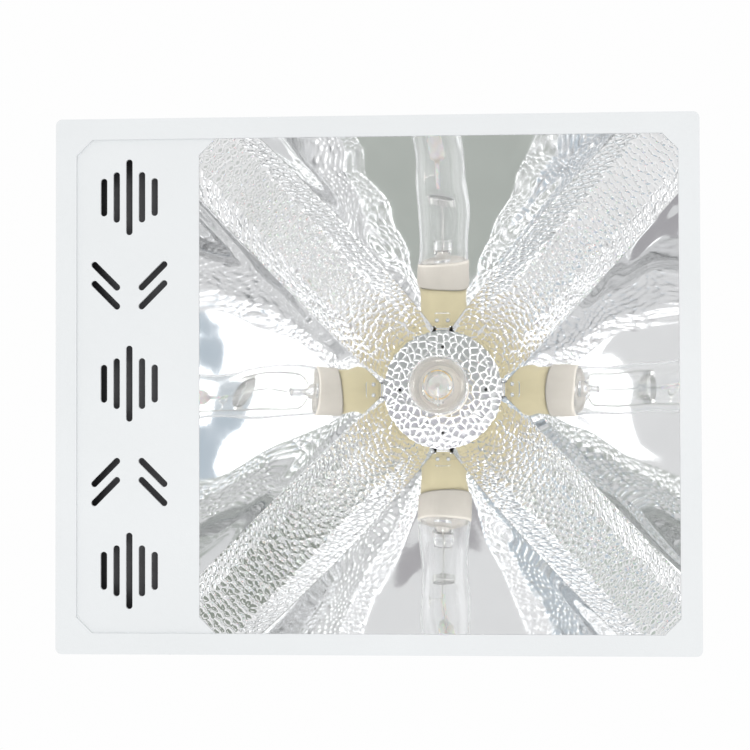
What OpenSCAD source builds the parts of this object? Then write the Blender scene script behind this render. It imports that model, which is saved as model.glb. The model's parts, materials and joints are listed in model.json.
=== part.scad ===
// Hanging grow light for one ceramic metal-halide lamp. A white steel housing opens downwards:
// a ballast bay behind a vented cover at one end, and a square, hammered and mirrored
// reflector bowl at the other, with the lamp standing upright in its middle.
// Millimetres, +Z up. The light shines towards -Z and the bezel's lower face is z = 0.

/* [Housing] */
// Length of the bezel, along X
body_l = 400; // [398:1:402]
// Width of the bezel, along Y
body_w = 334; // [332:1:336]
// Height of the steel housing, without its hangers
body_h = 200; // [196:1:215]
// Width of the flat lip around the opening
lip_w = 13; // [11:0.5:14]
// Height of the bezel's outer skirt
skirt_h = 22; // [16:1:28]
// Cut across each corner of the opening
corner_cut = 10; // [6:0.5:12]
// Width of the vented ballast cover that shows inside the lip
cover_w = 77; // [74:0.5:78]

/* [Cover vents] */
// Width of one vent slot
slot_w = 4.1; // [2.5:0.1:4.5]
// Distance between the slots of a group
slot_pitch = 8; // [7:0.1:8.5]
// Distance from the middle slot group to the next one
group_step = 116.7; // [110:0.1:118]
// Distance from the middle slot group to a chevron
chevron_step = 61.4; // [58:0.1:63]

/* [Reflector bowl] */
// Depth of the bowl, from the bezel's lower face up to the top disc
bowl_h = 160; // [158:0.5:161]
// Radius of the hammered top disc
disc_r = 44; // [43:0.5:45]
// Slope of the bowl's walls where they meet the disc, in degrees from level
slope_top = 50; // [49:0.5:51]
// Slope of the front and back walls at the rim
slope_long = 56.5; // [56:0.5:58]
// Slope of the left and right walls at the rim
slope_short = 58.5; // [58:0.5:60]
// Half the width of a hammered arm's middle facet
facet_half = 15.4; // [14:0.1:17]

/* [Lamp] */
// Diameter of the lamp's outer bulb
bulb_d = 38.1; // [37:0.1:39]
// Length of the lamp from the holder's face to its tip
lamp_l = 128; // [124:1:131]
// Diameter of the lamp's ceramic base
base_d = 39.2; // [38.5:0.1:39.8]
// How far the lampholder stands out of the disc
holder_drop = 26; // [24:0.5:28]

/* [Controls and hangers] */
// How far the selector knob reaches beyond the bezel
knob_reach = 14; // [12:1:18]
// Length of a wire hanger, from its pivot to the middle of its eye
hanger_l = 100; // [80:1:110]
// Radius of the hanger wire
wire_r = 2; // [1.5:0.1:2.2]

/* [Hidden] */

$fn = 64;
sheet = 1.2;                  // steel sheet of the housing
lip_t = 1.5;                  // steel sheet of the bezel
fit = 0.2;                    // gap between neighbouring sheets
corner_r = 3;                 // bend at the housing's upright corners

shell_l = body_l - 2 * (lip_t + fit);
shell_w = body_w - 2 * (lip_t + fit);
shell_z = lip_t + fit;        // where the housing's walls start, on the lip
roof_z = body_h - sheet;      // underside of the housing's top
inner_l = shell_l - 2 * sheet;
inner_w = shell_w - 2 * sheet;
open_l = body_l - 2 * lip_w;  // opening inside the lip
open_w = body_w - 2 * lip_w;

cover_x = -open_l / 2 + cover_w;          // right edge of the ballast cover
lamp_x = (cover_x + open_l / 2) / 2;      // axis of the lamp and of the bowl
vent_x = -open_l / 2 + cover_w * 0.429;   // middle of the column of vents
vent_y = -1.3;                            // set a little towards the front

// ---- bowl geometry: all heights are z, s runs from 0 at the disc to 1 at the bezel ----
foil = 0.8;                   // aluminium sheet of the reflector
bowl_rim_z = 4.2;             // where the bowl's sheets end, just above the cover
bowl_top_z = bowl_h + 3;      // the sheets run on behind the disc's edge
bowl_steps = 10;
mirror_half_top = [5, 3];     // half widths of the front/back and left/right mirrors
mirror_half_rim = [120.5, 129.5];
mirror_bulge = [-2, 3];
arm_rim = [145.5, 154];        // middle of an arm where the bowl meets the bezel

function s_of(z) = (bowl_h - z) / bowl_h;
// A wall whose slope changes evenly from the disc to the rim: its distance from the axis
function wall_r(z, rim_slope) =
    let (turn = (rim_slope - slope_top) * PI / 180)
    disc_r + bowl_h / turn * ln(sin(slope_top + (rim_slope - slope_top) * s_of(z))
                                / sin(slope_top));
function rim_slope_of(k) = k == 0 ? slope_long : slope_short;
function mirror_half(z, k) = let (s = s_of(z))
    mirror_half_top[k] + (mirror_half_rim[k] - mirror_half_top[k]) * s
    + mirror_bulge[k] * 4 * s * (1 - s);
function arm_mid(z) =
    let (g = (wall_r(z, slope_long) - disc_r) / (wall_r(0, slope_long) - disc_r),
         top = sqrt(disc_r * disc_r - facet_half * facet_half) / sqrt(2))
    [top + (arm_rim[0] - top) * g, top + (arm_rim[1] - top) * g];

// ---- lamp and lampholder ----
holder_z = bowl_h - holder_drop;          // the holder's lower face
holder_r = 18.2;
holder_top = 168;
ear_t = 8;
bridge_z = holder_top + ear_t;            // underside of the bridge plate
bridge_t = 2;
pin_r = 1.5;
pin_gap = 9;                              // distance of each pin from the lamp's axis
pin_l = 11;
base_h = 18.3;
base_z = holder_z - base_h;               // lower face of the lamp's base
tip_z = holder_z - lamp_l;
glass_t = 1.2;
bulb_r = bulb_d / 2;
dome_h = 12;                              // height of the bulb's rounded end
arc_z = 40;                               // middle of the arc tube
shroud_r = 9.4;
wire_y = 12.75;                           // distance of the support wires from the axis

// ---- ballast bay and controls ----
bay_l = -inner_l / 2;                     // inner face of the end wall
part_x = lamp_x - wall_r(bowl_rim_z, slope_short) - 2.4;   // right face of the partition
bay_r = part_x - sheet;
bay_x = (bay_l + bay_r) / 2;
tray_z = 14;
board_z = 25;
board_t = 1.6;
board_top = board_z + board_t;
board_l = 250;
board_w = 62;
lead_y = 20;                  // where the lamp's leads pass the partition
lead_z = 186;
panel_x = -shell_l / 2;                   // outer face of the end wall
control_z = 135;
inlet_y = -95;
jack_y = 80;
knob_r = 11;
nut_t = 2;

// ---- hangers ----
screw_head = 1.6;             // height of the bezel's screw heads
pivot_x = 165;
pivot_z = body_h + 3.2;
clip_y = 70;
clip_w = 10;
eye_r = 8;
eye_wall = 3.5;
eye_h = 6;

frame_shift = (knob_reach - screw_head) / 2;   // puts the origin under the middle of everything

// ------------------------------------------------------------------ helpers
module in_frame() { translate([frame_shift, 0, 0]) children(); }
module at_lamp() { translate([lamp_x, 0, 0]) children(); }
module box(size, at) {
    translate([at[0] - size[0] / 2, at[1] - size[1] / 2, at[2]]) cube(size);
}
module rod(h, r, at) { translate(at) cylinder(h = h, r = r); }
module ring(h, r_out, r_in, at) {
    translate(at) difference() {
        cylinder(h = h, r = r_out);
        translate([0, 0, -1]) cylinder(h = h + 2, r = r_in);
    }
}
// Flat slot with round ends, l long end to end, along Y unless turned
module slot_2d(l, w, turn = 0) {
    rotate(turn) {
        square([w, l - w], center = true);
        for (e = [-1, 1]) translate([0, e * (l - w) / 2]) circle(d = w);
    }
}
module rounded_rect(l, w, r) {
    square([l - 2 * r, w], center = true);
    square([l, w - 2 * r], center = true);
    for (i = [-1, 1], j = [-1, 1]) translate([i * (l / 2 - r), j * (w / 2 - r)]) circle(r = r);
}
module opening_2d() {
    a = open_l / 2;
    b = open_w / 2;
    c = corner_cut;
    polygon([[-a + c, -b], [a - c, -b], [a, -b + c], [a, b - c],
             [a - c, b], [-a + c, b], [-a, b - c], [-a, -b + c]]);
}
// Straight round bar between two points
module bar(a, b, r) {
    d = b - a;
    len = norm(d);
    translate(a) rotate([0, acos(d[2] / len), atan2(d[1], d[0])]) cylinder(h = len, r = r);
}
// Round wire swept along a list of points; ref is any direction that the wire never takes
function unit(v) = v / norm(v);
function wire_ring(points, i, r, ref, sides) =
    let (t = unit(points[min(i + 1, len(points) - 1)] - points[max(i - 1, 0)]),
         n = unit(cross(t, ref)), b = cross(t, n))
    [for (k = [0 : sides - 1]) let (a = 360 * k / sides)
        points[i] + r * cos(a) * n + r * sin(a) * b];
module wire(points, r, ref = [0.6, 0.6, -0.5], sides = 10) {
    rows = len(points);
    skin = [for (i = [0 : rows - 1]) for (p = wire_ring(points, i, r, ref, sides)) p];
    side_faces = [for (i = [0 : rows - 2], k = [0 : sides - 1])
        let (a = i * sides + k, b = i * sides + (k + 1) % sides)
        each [[a, b + sides, b], [a, a + sides, b + sides]]];
    first = [for (k = [0 : sides - 1]) k];
    last = [for (k = [sides - 1 : -1 : 0]) (rows - 1) * sides + k];
    polyhedron(points = skin, faces = concat(side_faces, [first, last]), convexity = 6);
}
// Points of a path whose corners are rounded: each corner becomes a short curve
function rounded_path(p, cut, steps = 4) = concat([p[0]],
    [for (i = [1 : len(p) - 2])
        let (a = p[i] + cut * unit(p[i - 1] - p[i]), b = p[i] + cut * unit(p[i + 1] - p[i]))
        for (k = [0 : steps]) let (u = k / steps)
            (1 - u) * (1 - u) * a + 2 * u * (1 - u) * p[i] + u * u * b],
    [p[len(p) - 1]]);
// Closed sheet between two grids of points, front and back, each a list of rows
module sheet_solid(front, back) {
    rows = len(front);
    cols = len(front[0]);
    n = rows * cols;
    pts = concat([for (r = front) for (p = r) p], [for (r = back) for (p = r) p]);
    function at(i, j) = i * cols + j;
    faces = concat(
        [for (i = [0 : rows - 2], j = [0 : cols - 2])
            each [[at(i, j), at(i + 1, j), at(i + 1, j + 1)], [at(i, j), at(i + 1, j + 1), at(i, j + 1)]]],
        [for (i = [0 : rows - 2], j = [0 : cols - 2])
            each [[n + at(i, j), n + at(i + 1, j + 1), n + at(i + 1, j)],
                  [n + at(i, j), n + at(i, j + 1), n + at(i + 1, j + 1)]]],
        [for (i = [0 : rows - 2]) each
            [[at(i, 0), n + at(i + 1, 0), at(i + 1, 0)], [at(i, 0), n + at(i, 0), n + at(i + 1, 0)],
             [at(i, cols - 1), at(i + 1, cols - 1), n + at(i + 1, cols - 1)],
             [at(i, cols - 1), n + at(i + 1, cols - 1), n + at(i, cols - 1)]]],
        [for (j = [0 : cols - 2]) each
            [[at(0, j), at(0, j + 1), n + at(0, j + 1)], [at(0, j), n + at(0, j + 1), n + at(0, j)],
             [at(rows - 1, j), n + at(rows - 1, j + 1), at(rows - 1, j + 1)],
             [at(rows - 1, j), n + at(rows - 1, j), n + at(rows - 1, j + 1)]]]);
    polyhedron(points = pts, faces = faces, convexity = 4);
}
module countersunk_head(r, h) {
    difference() {
        intersection() {
            cylinder(h = h, r = r);
            translate([0, 0, h - 2.2 * r]) sphere(r = 2.2 * r);
        }
        for (t = [0, 90]) rotate(t) translate([-r * 0.55, -0.4, h * 0.45]) cube([r * 1.1, 0.8, h]);
    }
}

// ------------------------------------------------------------------ housing
module shell_cutouts() {
    // Slots in the roof and in both long walls of the ballast bay
    for (i = [-9 : 9], j = [-1, 1]) if (abs(i) < 3 || abs(i) > 6)
        translate([bay_x + j * 17, i * 15, roof_z - 1]) linear_extrude(sheet + 2) slot_2d(26, 4, 90);
    for (s = [-1, 1], i = [-3 : 3]) translate([bay_x + i * 9, s * shell_w / 2, 120])
        rotate([90, 0, 0]) translate([0, 0, -3]) linear_extrude(6) slot_2d(46, 4);
    // Slots in the roof on each side of the lampholder, and high in the three walls around it
    for (s = [-1, 1], i = [-4 : 4]) translate([lamp_x + i * 12, s * 105, roof_z - 1])
        linear_extrude(sheet + 2) slot_2d(34, 4.5);
    for (s = [-1, 1], i = [-5 : 5]) translate([lamp_x + i * 16, s * shell_w / 2, 168])
        rotate([90, 0, 0]) translate([0, 0, -3]) linear_extrude(6) slot_2d(28, 4.5);
    for (i = [-5 : 5]) translate([shell_l / 2, i * 16, 168]) rotate([0, 90, 0])
        translate([0, 0, -3]) linear_extrude(6) slot_2d(28, 4.5, 90);
    // Openings for the inlet, the jack and the selector
    translate([panel_x, inlet_y, control_z]) cube([6, 29, 21.6], center = true);
    translate([panel_x, jack_y, control_z]) cube([6, 16.6, 14.6], center = true);
    translate([panel_x - 3, 0, control_z]) rotate([0, 90, 0]) cylinder(h = 6, r = 4.6);
    for (s = [-1, 1]) translate([panel_x - 3, inlet_y + s * 20, control_z]) rotate([0, 90, 0])
        cylinder(h = 6, r = 1.7);
    for (p = skirt_screws) skirt_hole(p);
}
module housing_shell() {
    color("whitesmoke") difference() {
        translate([0, 0, shell_z]) linear_extrude(body_h - shell_z) rounded_rect(shell_l, shell_w, corner_r);
        translate([0, 0, shell_z - 1]) linear_extrude(roof_z - shell_z + 1)
            rounded_rect(inner_l, inner_w, corner_r - sheet);
        shell_cutouts();
        for (p = bridge_holes) translate([p[0], p[1], roof_z - 1]) cylinder(h = sheet + 2, r = 2.2);
    }
}
module bezel_frame() {
    color("whitesmoke") {
        difference() {
            linear_extrude(skirt_h) rounded_rect(body_l, body_w, corner_r + 1);
            translate([0, 0, lip_t]) linear_extrude(skirt_h)
                rounded_rect(body_l - 2 * lip_t, body_w - 2 * lip_t, corner_r - 0.5);
            translate([0, 0, -1]) linear_extrude(lip_t + 2) opening_2d();
            for (p = skirt_screws) skirt_hole(p);
        }
    }
}
module skirt_hole(p) {
    translate([p[0], p[1], 13]) rotate([0, 0, p[2]]) rotate([0, 90, 0])
        translate([0, 0, -5]) cylinder(h = 9, r = 1.7);
}
skirt_screws = concat(
    [for (s = [-1, 1], x = [-150, 0, 150]) [x, s * (body_w / 2 - lip_t / 2), s * 90]],
    [for (s = [-1, 1], y = [-90, 90]) [s * (body_l / 2 - lip_t / 2), y, s == 1 ? 0 : 180]]);
module bezel_screws() {
    color("silver") for (p = skirt_screws)
        translate([p[0], p[1], 13]) rotate([0, 0, p[2]]) rotate([0, 90, 0]) {
            translate([0, 0, lip_t / 2]) countersunk_head(3, screw_head);
            translate([0, 0, -3.6]) cylinder(h = 3.6 + lip_t / 2, r = 1.5);
        }
}
module chevron_2d(side) {
    // Two pairs of slanted slots whose inner ends lie nearer to the panel's middle
    for (s = [-1, 1], k = [-1, 1]) translate([s * 14.9, k * 5.95])
        slot_2d(20 + slot_w, slot_w, -s * side * 45);
}
module vents_2d() {
    lengths = [47.5, 31.7, 23.7];
    for (g = [-1 : 1], i = [-2 : 2]) translate([vent_x + i * slot_pitch, vent_y + g * group_step])
        slot_2d(lengths[abs(i)], slot_w);
    for (s = [-1, 1]) translate([vent_x, vent_y + s * chevron_step]) chevron_2d(s);
}
module ballast_cover() {
    w = inner_w - 1;
    left = -inner_l / 2 + 0.5;
    ear = corner_cut;
    color("white") translate([0, 0, lip_t]) linear_extrude(lip_t) difference() {
        polygon([[left, -w / 2], [cover_x + ear + w / 2 - open_w / 2, -w / 2],
                 [cover_x, -open_w / 2 + ear], [cover_x, open_w / 2 - ear],
                 [cover_x + ear + w / 2 - open_w / 2, w / 2], [left, w / 2]]);
        vents_2d();
    }
}
module partition_wall() {
    z0 = 2 * lip_t + fit;
    color("gainsboro") difference() {
        union() {
            box([sheet, inner_w - 0.4, roof_z - z0 - fit], [part_x - sheet / 2, 0, z0]);
            box([12, inner_w - 4, sheet], [part_x - 6, 0, roof_z - fit - sheet]);
        }
        translate([part_x - 5, lead_y, lead_z]) rotate([0, 90, 0]) cylinder(h = 10, r = 6);
    }
}
module partition_grommet() {
    color("dimgray") translate([part_x - sheet / 2, lead_y, lead_z]) rotate([0, 90, 0])
        rotate_extrude() polygon([[4, -3], [8, -3], [8, -0.7], [5.9, -0.7], [5.9, 0.7],
                                  [8, 0.7], [8, 3], [4, 3]]);
}

// ------------------------------------------------------------------ reflector
// The sheet's outward shift, level and upright parts
out_level = 0.79;
out_up = 0.61;
function offset_pt(p, dir, t) = [p[0] + dir[0] * out_level * t, p[1] + dir[1] * out_level * t,
                                 p[2] + out_up * t];
function level_z(i) = bowl_top_z + (bowl_rim_z - bowl_top_z) * i / bowl_steps;
function arm_row(z) =
    let (m = arm_mid(z), a = facet_half / sqrt(2))
    [[mirror_half(z, 0), -wall_r(z, slope_long), z], [m[0] - a, -m[1] - a, z],
     [m[0] + a, -m[1] + a, z], [wall_r(z, slope_short), -mirror_half(z, 1), z]];
arm_dirs = [[0, -1], [0.5, -0.866], [0.866, -0.5], [1, 0]];
function arm_grid(t) = [for (i = [0 : bowl_steps])
    let (row = arm_row(level_z(i))) [for (j = [0 : 3]) offset_pt(row[j], arm_dirs[j], t)]];
module reflector_arm() { sheet_solid(arm_grid(0), arm_grid(foil)); }
module reflector_arm_front_right() { color("lightgray") at_lamp() reflector_arm(); }
module reflector_arm_front_left() { color("lightgray") at_lamp() mirror([1, 0, 0]) reflector_arm(); }
module reflector_arm_back_right() { color("lightgray") at_lamp() mirror([0, 1, 0]) reflector_arm(); }
module reflector_arm_back_left() { color("lightgray") at_lamp() rotate(180) reflector_arm(); }

lap = 4;                      // how far a mirror runs on behind the arms beside it
mirror_set = foil + 0.15;     // a mirror's front lies just behind the arms' back
// Mirror k = 0 faces along Y and k = 1 faces along X; both are drawn on the -Y side
function mirror_grid(k, t) = [for (i = [0 : bowl_steps])
    let (z = level_z(i), w = mirror_half(z, k) + lap * min(1, 0.25 + s_of(z) * 3),
         r = wall_r(z, rim_slope_of(k)))
    [for (u = [1, -1]) offset_pt([u * w, -r, z], [0, -1], t)]];
module mirror_sheet(k) { sheet_solid(mirror_grid(k, mirror_set + foil), mirror_grid(k, mirror_set)); }
module mirror_front() { color("azure") at_lamp() mirror_sheet(0); }
module mirror_back() { color("azure") at_lamp() rotate(180) mirror_sheet(0); }
module mirror_left() { color("azure") at_lamp() rotate(-90) mirror_sheet(1); }
module mirror_right() { color("azure") at_lamp() rotate(90) mirror_sheet(1); }

tab_neck = 9.7;
tab_w = 11.4;                 // past its bend
tab_l = 15;
tab_t = 0.5;
tab_bend = disc_r + 2.2;      // how far out the disc's tongues bend
disc_z = bowl_h - 3.3;        // lower face of the disc, in front of the arms' upper ends
hole_at = 32;                 // distance of the disc's small holes from the axis
rivet_side = 4;               // of a rivet, from its tongue's middle
rivet_along = 7.8;            // and from the bend
module disc_tab() {
    // Tongue of the disc that lies along a mirror and takes two rivets
    box([tab_neck, 4.2, tab_t], [0, -tab_bend + 2, disc_z]);
    translate([0, -tab_bend, disc_z]) rotate([slope_top, 0, 0])
        translate([-tab_w / 2, -tab_l, 0]) cube([tab_w, tab_l, tab_t]);
}
module reflector_disc() {
    color("lightgray") at_lamp() difference() {
        union() {
            rod(foil, disc_r - 0.1, [0, 0, disc_z]);
            for (t = [0, 90, 180, 270]) rotate(t) disc_tab();
        }
        rod(4, holder_r + 0.6, [0, 0, disc_z - 1]);
        for (t = [0, 90, 180, 270]) rotate(t) rod(4, 1.2, [0, -hole_at, disc_z - 1]);
    }
}
module reflector_rivets() {
    color("silver") at_lamp() for (t = [0, 90, 180, 270], s = [-1, 1]) rotate(t)
        translate([0, -tab_bend, disc_z]) rotate([slope_top, 0, 0])
        translate([s * rivet_side, -rivet_along, -0.9]) {
            cylinder(h = 0.9, r = 1.5);
            cylinder(h = 4, r = 0.7);
        }
}
module reflector_brackets() {
    // Two Z-shaped straps that carry the disc from the bridge
    color("silver") at_lamp() for (s = [-1, 1]) {
        difference() {
            box([14, 16, 1.2], [s * 33, 0, disc_z + foil]);
            rod(4, 2.2, [s * hole_at, 0, disc_z]);
        }
        box([1.2, 16, bridge_z - disc_z - foil - 0.2], [s * 26.6, 0, disc_z + foil]);
        box([10, 16, 1.2], [s * 21.9, 0, bridge_z - 1.4]);
    }
}
module rim_clips() {
    z = 20;
    reach_y = wall_r(z, slope_long) + 2.6;
    reach_x = wall_r(z, slope_short) + 2.6;
    color("silver") {
        for (s = [-1, 1], x = [-60, 60]) {
            len_y = inner_w / 2 - reach_y - 0.3;
            box([16, len_y, 1], [lamp_x + x, s * (reach_y + len_y / 2), z]);
            box([16, 1, 16], [lamp_x + x, s * (inner_w / 2 - 0.8), z]);
        }
        for (y = [-60, 60]) {
            len_x = inner_l / 2 - lamp_x - reach_x - 0.3;
            box([len_x, 16, 1], [lamp_x + reach_x + len_x / 2, y, z]);
            box([1, 16, 16], [inner_l / 2 - 0.8, y, z]);
        }
    }
}

// ------------------------------------------------------------------ lampholder
bridge_l = 56;
bridge_w = 84;
bridge_holes = [for (i = [-1, 1], j = [-1, 1]) [lamp_x + i * 18, j * (bridge_w / 2 + 8)]];
module holder_bridge() {
    leg_h = roof_z - bridge_z - fit;
    color("silver") difference() {
        at_lamp() {
            box([bridge_l, bridge_w, bridge_t], [0, 0, bridge_z]);
            for (s = [-1, 1]) {
                box([bridge_l, bridge_t, leg_h], [0, s * (bridge_w / 2 - bridge_t / 2), bridge_z]);
                box([bridge_l, 18, bridge_t], [0, s * (bridge_w / 2 + 7), bridge_z + leg_h - bridge_t]);
            }
        }
        at_lamp() rod(6, 9, [0, 0, bridge_z - 2]);
        at_lamp() for (s = [-1, 1]) rod(6, 2.1, [0, s * 24, bridge_z - 2]);
        for (p = bridge_holes) rod(8, 2.1, [p[0], p[1], roof_z - 6]);
    }
}
module bridge_screws() {
    color("silver") for (p = bridge_holes) translate([p[0], p[1], 0]) {
        translate([0, 0, body_h]) countersunk_head(3.8, 2.2);
        rod(body_h - roof_z + 6, 2, [0, 0, roof_z - 6]);
    }
}
rotor_r = 13.2;
rotor_z = holder_z + 0.2;
rotor_top = holder_z + 14;
module lampholder() {
    color("burlywood") at_lamp() difference() {
        union() {
            rod(holder_top - holder_z, holder_r, [0, 0, holder_z]);
            box([22, 58, ear_t - 0.2], [0, 0, holder_top]);
        }
        rod(3, 12, [0, 0, holder_z - 1]);
        rod(rotor_top - holder_z - 1.7, rotor_r + 0.1, [0, 0, holder_z + 1.9]);
        rod(14, 11, [0, 0, rotor_top]);
        rod(20, 3.5, [0, 0, holder_top - 8]);
        for (s = [-1, 1]) rod(ear_t + 2, 2.1, [0, s * 24, holder_top - 1]);
    }
}
module holder_screws() {
    color("silver") at_lamp() for (s = [-1, 1]) translate([0, s * 24, 0]) {
        rod(bridge_t + ear_t + 3, 1.9, [0, 0, holder_top - 0.1]);
        translate([0, 0, holder_top]) mirror([0, 0, 1]) countersunk_head(3.6, 2.4);
        ring(3, 3.6, 1.95, [0, 0, bridge_z + bridge_t]);
    }
}
module holder_terminals() {
    color("goldenrod") at_lamp() for (s = [-1, 1]) {
        box([6, 2.4, 0.6], [0, s * pin_gap, rotor_top + 0.6]);
        box([6, 0.6, 10], [0, s * (pin_gap - 1.5), rotor_top + 0.6]);
    }
}
module holder_rotor() {
    color("linen") at_lamp() difference() {
        union() {
            rod(2.2, 11.9, [0, 0, rotor_z]);
            rod(rotor_top - rotor_z - 2, rotor_r, [0, 0, rotor_z + 2]);
        }
        for (s = [-1, 1]) rod(20, 2.4, [0, s * pin_gap, rotor_z - 1]);
    }
}
module contact_sleeves() {
    color("goldenrod") at_lamp() for (s = [-1, 1])
        ring(rotor_top - rotor_z - 1, 2.35, pin_r + 0.1, [0, s * pin_gap, rotor_z + 1]);
}

// ------------------------------------------------------------------ lamp
module lamp_base() {
    r = base_d / 2;
    top = holder_z - 0.15;
    color("antiquewhite") at_lamp() rotate_extrude() polygon([
        [0, top], [r - 0.8, top], [r, top - 0.8], [r, base_z + 1], [r - 1, base_z],
        [bulb_r - glass_t - 2.6, base_z], [bulb_r - glass_t - 3, base_z + 1], [0, base_z + 1]]);
}
module lamp_pins() {
    color("silver") at_lamp() for (s = [-1, 1]) translate([0, s * pin_gap, holder_z - 0.15]) {
        cylinder(h = pin_l - pin_r, r = pin_r);
        translate([0, 0, pin_l - pin_r]) sphere(r = pin_r);
    }
}
// Half outline of the bulb: straight wall, rounded shoulder and a nearly flat end
function dome(r, z_end, h) = [for (a = [90 : -7.5 : 0])
    [r * pow(sin(a), 0.75), z_end + h * (1 - pow(cos(a), 0.85))]];
module outer_bulb() {
    inner_end = tip_z + glass_t * 1.6;
    top = base_z - 0.15;
    color("lightcyan", 0.35) at_lamp() rotate_extrude() polygon(concat(
        [[0, tip_z], [0, inner_end]],
        [for (i = [len(inner_dome(inner_end)) - 2 : -1 : 0]) inner_dome(inner_end)[i]],
        [[bulb_r - glass_t, top], [bulb_r, top]],
        [for (i = [0 : len(outer_dome()) - 2]) outer_dome()[i]]));
}
function inner_dome(z) = dome(bulb_r - glass_t, z, dome_h - 1);
function outer_dome() = dome(bulb_r, tip_z, dome_h);
module lamp_stem() {
    // Sealed foot of the inner tube: a round stub and the flattened pinch under it
    color("linen") at_lamp() {
        rod(base_z + 0.8 - 111, 6, [0, 0, 111]);
        box([15, 5, 11], [0, 0, 100.2]);
        box([11, 8, 9.8], [0, 0, 101.4]);
    }
}
module arc_tube() {
    body_r = 6.6;
    color("white") at_lamp() translate([0, 0, arc_z]) rotate_extrude() polygon([
        [0, -29], [1.5, -29], [1.6, -14.5], [body_r * 0.75, -12], [body_r, -9],
        [body_r, 9], [body_r * 0.75, 12], [1.6, 14.5], [1.5, 29], [0, 29]]);
}
module quartz_shroud() {
    color("azure", 0.4) at_lamp() difference() {
        union() {
            rod(76, shroud_r, [0, 0, 14]);
            translate([0, 0, 90]) cylinder(h = 10, r1 = shroud_r, r2 = 6);
        }
        rod(77, shroud_r - 1, [0, 0, 13]);
        translate([0, 0, 89.9]) cylinder(h = 9, r1 = shroud_r - 1, r2 = 5);
    }
}
module support_wires() {
    long_wire = [[0, 5, 110.1], [0, wire_y, 106], [0, wire_y, 12.4], [0, 1.2, 10.2]];
    short_wire = [[0, -5, 110.1], [0, -wire_y, 106], [0, -wire_y, 74]];
    color("silver") at_lamp() {
        wire(rounded_path(long_wire, 3), 0.6);
        wire(rounded_path(short_wire, 3), 0.6);
        rod(29.6, 0.5, [0, 0, arc_z + 29.1]);
    }
}
module shroud_straps() {
    color("gainsboro") at_lamp() for (z = [18, 76]) {
        ring(4, shroud_r + 0.6, shroud_r + 0.05, [0, 0, z]);
        box([5, 2.2, 4], [0, shroud_r + 1.6, z]);
        if (z > 50) box([5, 2.2, 4], [0, -shroud_r - 1.6, z]);
    }
}
module getter_ring() {
    color("gray") at_lamp() translate([-11.2, 3, 63]) {
        rotate([0, 90, 0]) rotate_extrude() translate([3, 0]) circle(r = 0.7);
        bar([0, 3, 0], [10.2, wire_y - 3.2, 0], 0.4);
    }
}

// ------------------------------------------------------------------ ballast
module insulating_tray() {
    l = inner_w - 6;
    w = bay_r - bay_l - 3;
    color("darkslategray") translate([bay_x, 0, tray_z]) difference() {
        box([w, l, 30], [0, 0, 0]);
        box([w - 2, l - 2, 31], [0, 0, 1]);
    }
}
module circuit_board() {
    color("darkgreen") difference() {
        box([board_w, board_l, board_t], [bay_x, 0, board_z]);
        for (p = standoff_at) rod(6, 1.7, [p[0], p[1], board_z - 2]);
    }
}
standoff_at = [for (i = [-1, 1], j = [-1, 0, 1]) [bay_x + i * 27, j * 118]];
module board_standoffs() {
    color("goldenrod") for (p = standoff_at) {
        rod(board_z - tray_z - 1, 3, [p[0], p[1], tray_z + 1]);
        rod(board_t + 1, 1.6, [p[0], p[1], board_z - 0.5]);
        translate([p[0], p[1], board_top]) countersunk_head(2.8, 1.8);
    }
}
core_at = [bay_x - 2, 62];
module transformer_core() {
    color("dimgray") difference() {
        box([42, 20, 42], [core_at[0], core_at[1], board_top]);
        for (s = [-1, 1]) box([9, 22, 30], [core_at[0] + s * 10.5, core_at[1], board_top + 6]);
    }
}
module transformer_winding() {
    color("gold") difference() {
        box([28, 34, 28], [core_at[0], core_at[1], board_top + 7]);
        box([12.2, 20.2, 29], [core_at[0], core_at[1], board_top + 6.5]);
    }
}
choke_at = [[bay_x + 2, 8], [bay_x + 2, -26]];
module choke_cores() {
    color("olive") for (p = choke_at) translate([p[0], p[1], board_top + 16])
        rotate([90, 0, 0]) rotate_extrude() translate([8, -5]) square([6, 10]);
}
module choke_windings() {
    color("peru") for (p = choke_at, t = [15 : 25 : 345])
        translate([p[0], p[1], board_top + 16]) rotate([0, t, 0]) difference() {
            translate([6.6, -6.4, -1]) cube([8.8, 12.8, 2]);
            translate([7.9, -5.1, -2]) cube([6.2, 10.2, 4]);
        }
}
cap_at = [for (i = [-1, 1]) [bay_x + i * 13, -66]];
module bulk_capacitors() {
    color("midnightblue") for (p = cap_at) {
        difference() {
            rod(40, 11.5, [p[0], p[1], board_top]);
            ring(1.2, 13, 11, [p[0], p[1], board_top + 4]);
            for (t = [0, 90]) translate([p[0], p[1], board_top + 40]) rotate(t)
                cube([16, 0.6, 0.8], center = true);
        }
    }
}
module film_capacitors() {
    color("gold") for (i = [0 : 2]) {
        box([26, 9, 18], [bay_x - 12, -88 - i * 11, board_top]);
        if (i < 2) box([18, 7, 14], [bay_x + 18, -90 - i * 10, board_top]);
    }
}
sink_x = bay_r - 10.5;
module heat_sink() {
    color("silver") {
        box([3, 190, 52], [sink_x, 10, board_top + 8]);
        for (i = [0 : 7]) box([6.6, 190, 1.6], [sink_x + 4.6, 10, board_top + 9 + i * 6.8]);
    }
}
module power_transistors() {
    color("black") for (i = [0 : 3]) {
        box([4.6, 15, 20], [sink_x - 4, -36 + i * 36, board_top + 14]);
        for (j = [-1 : 1]) box([0.8, 1.2, 14.2], [sink_x - 4, -36 + i * 36 + j * 5, board_top]);
    }
}
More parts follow.
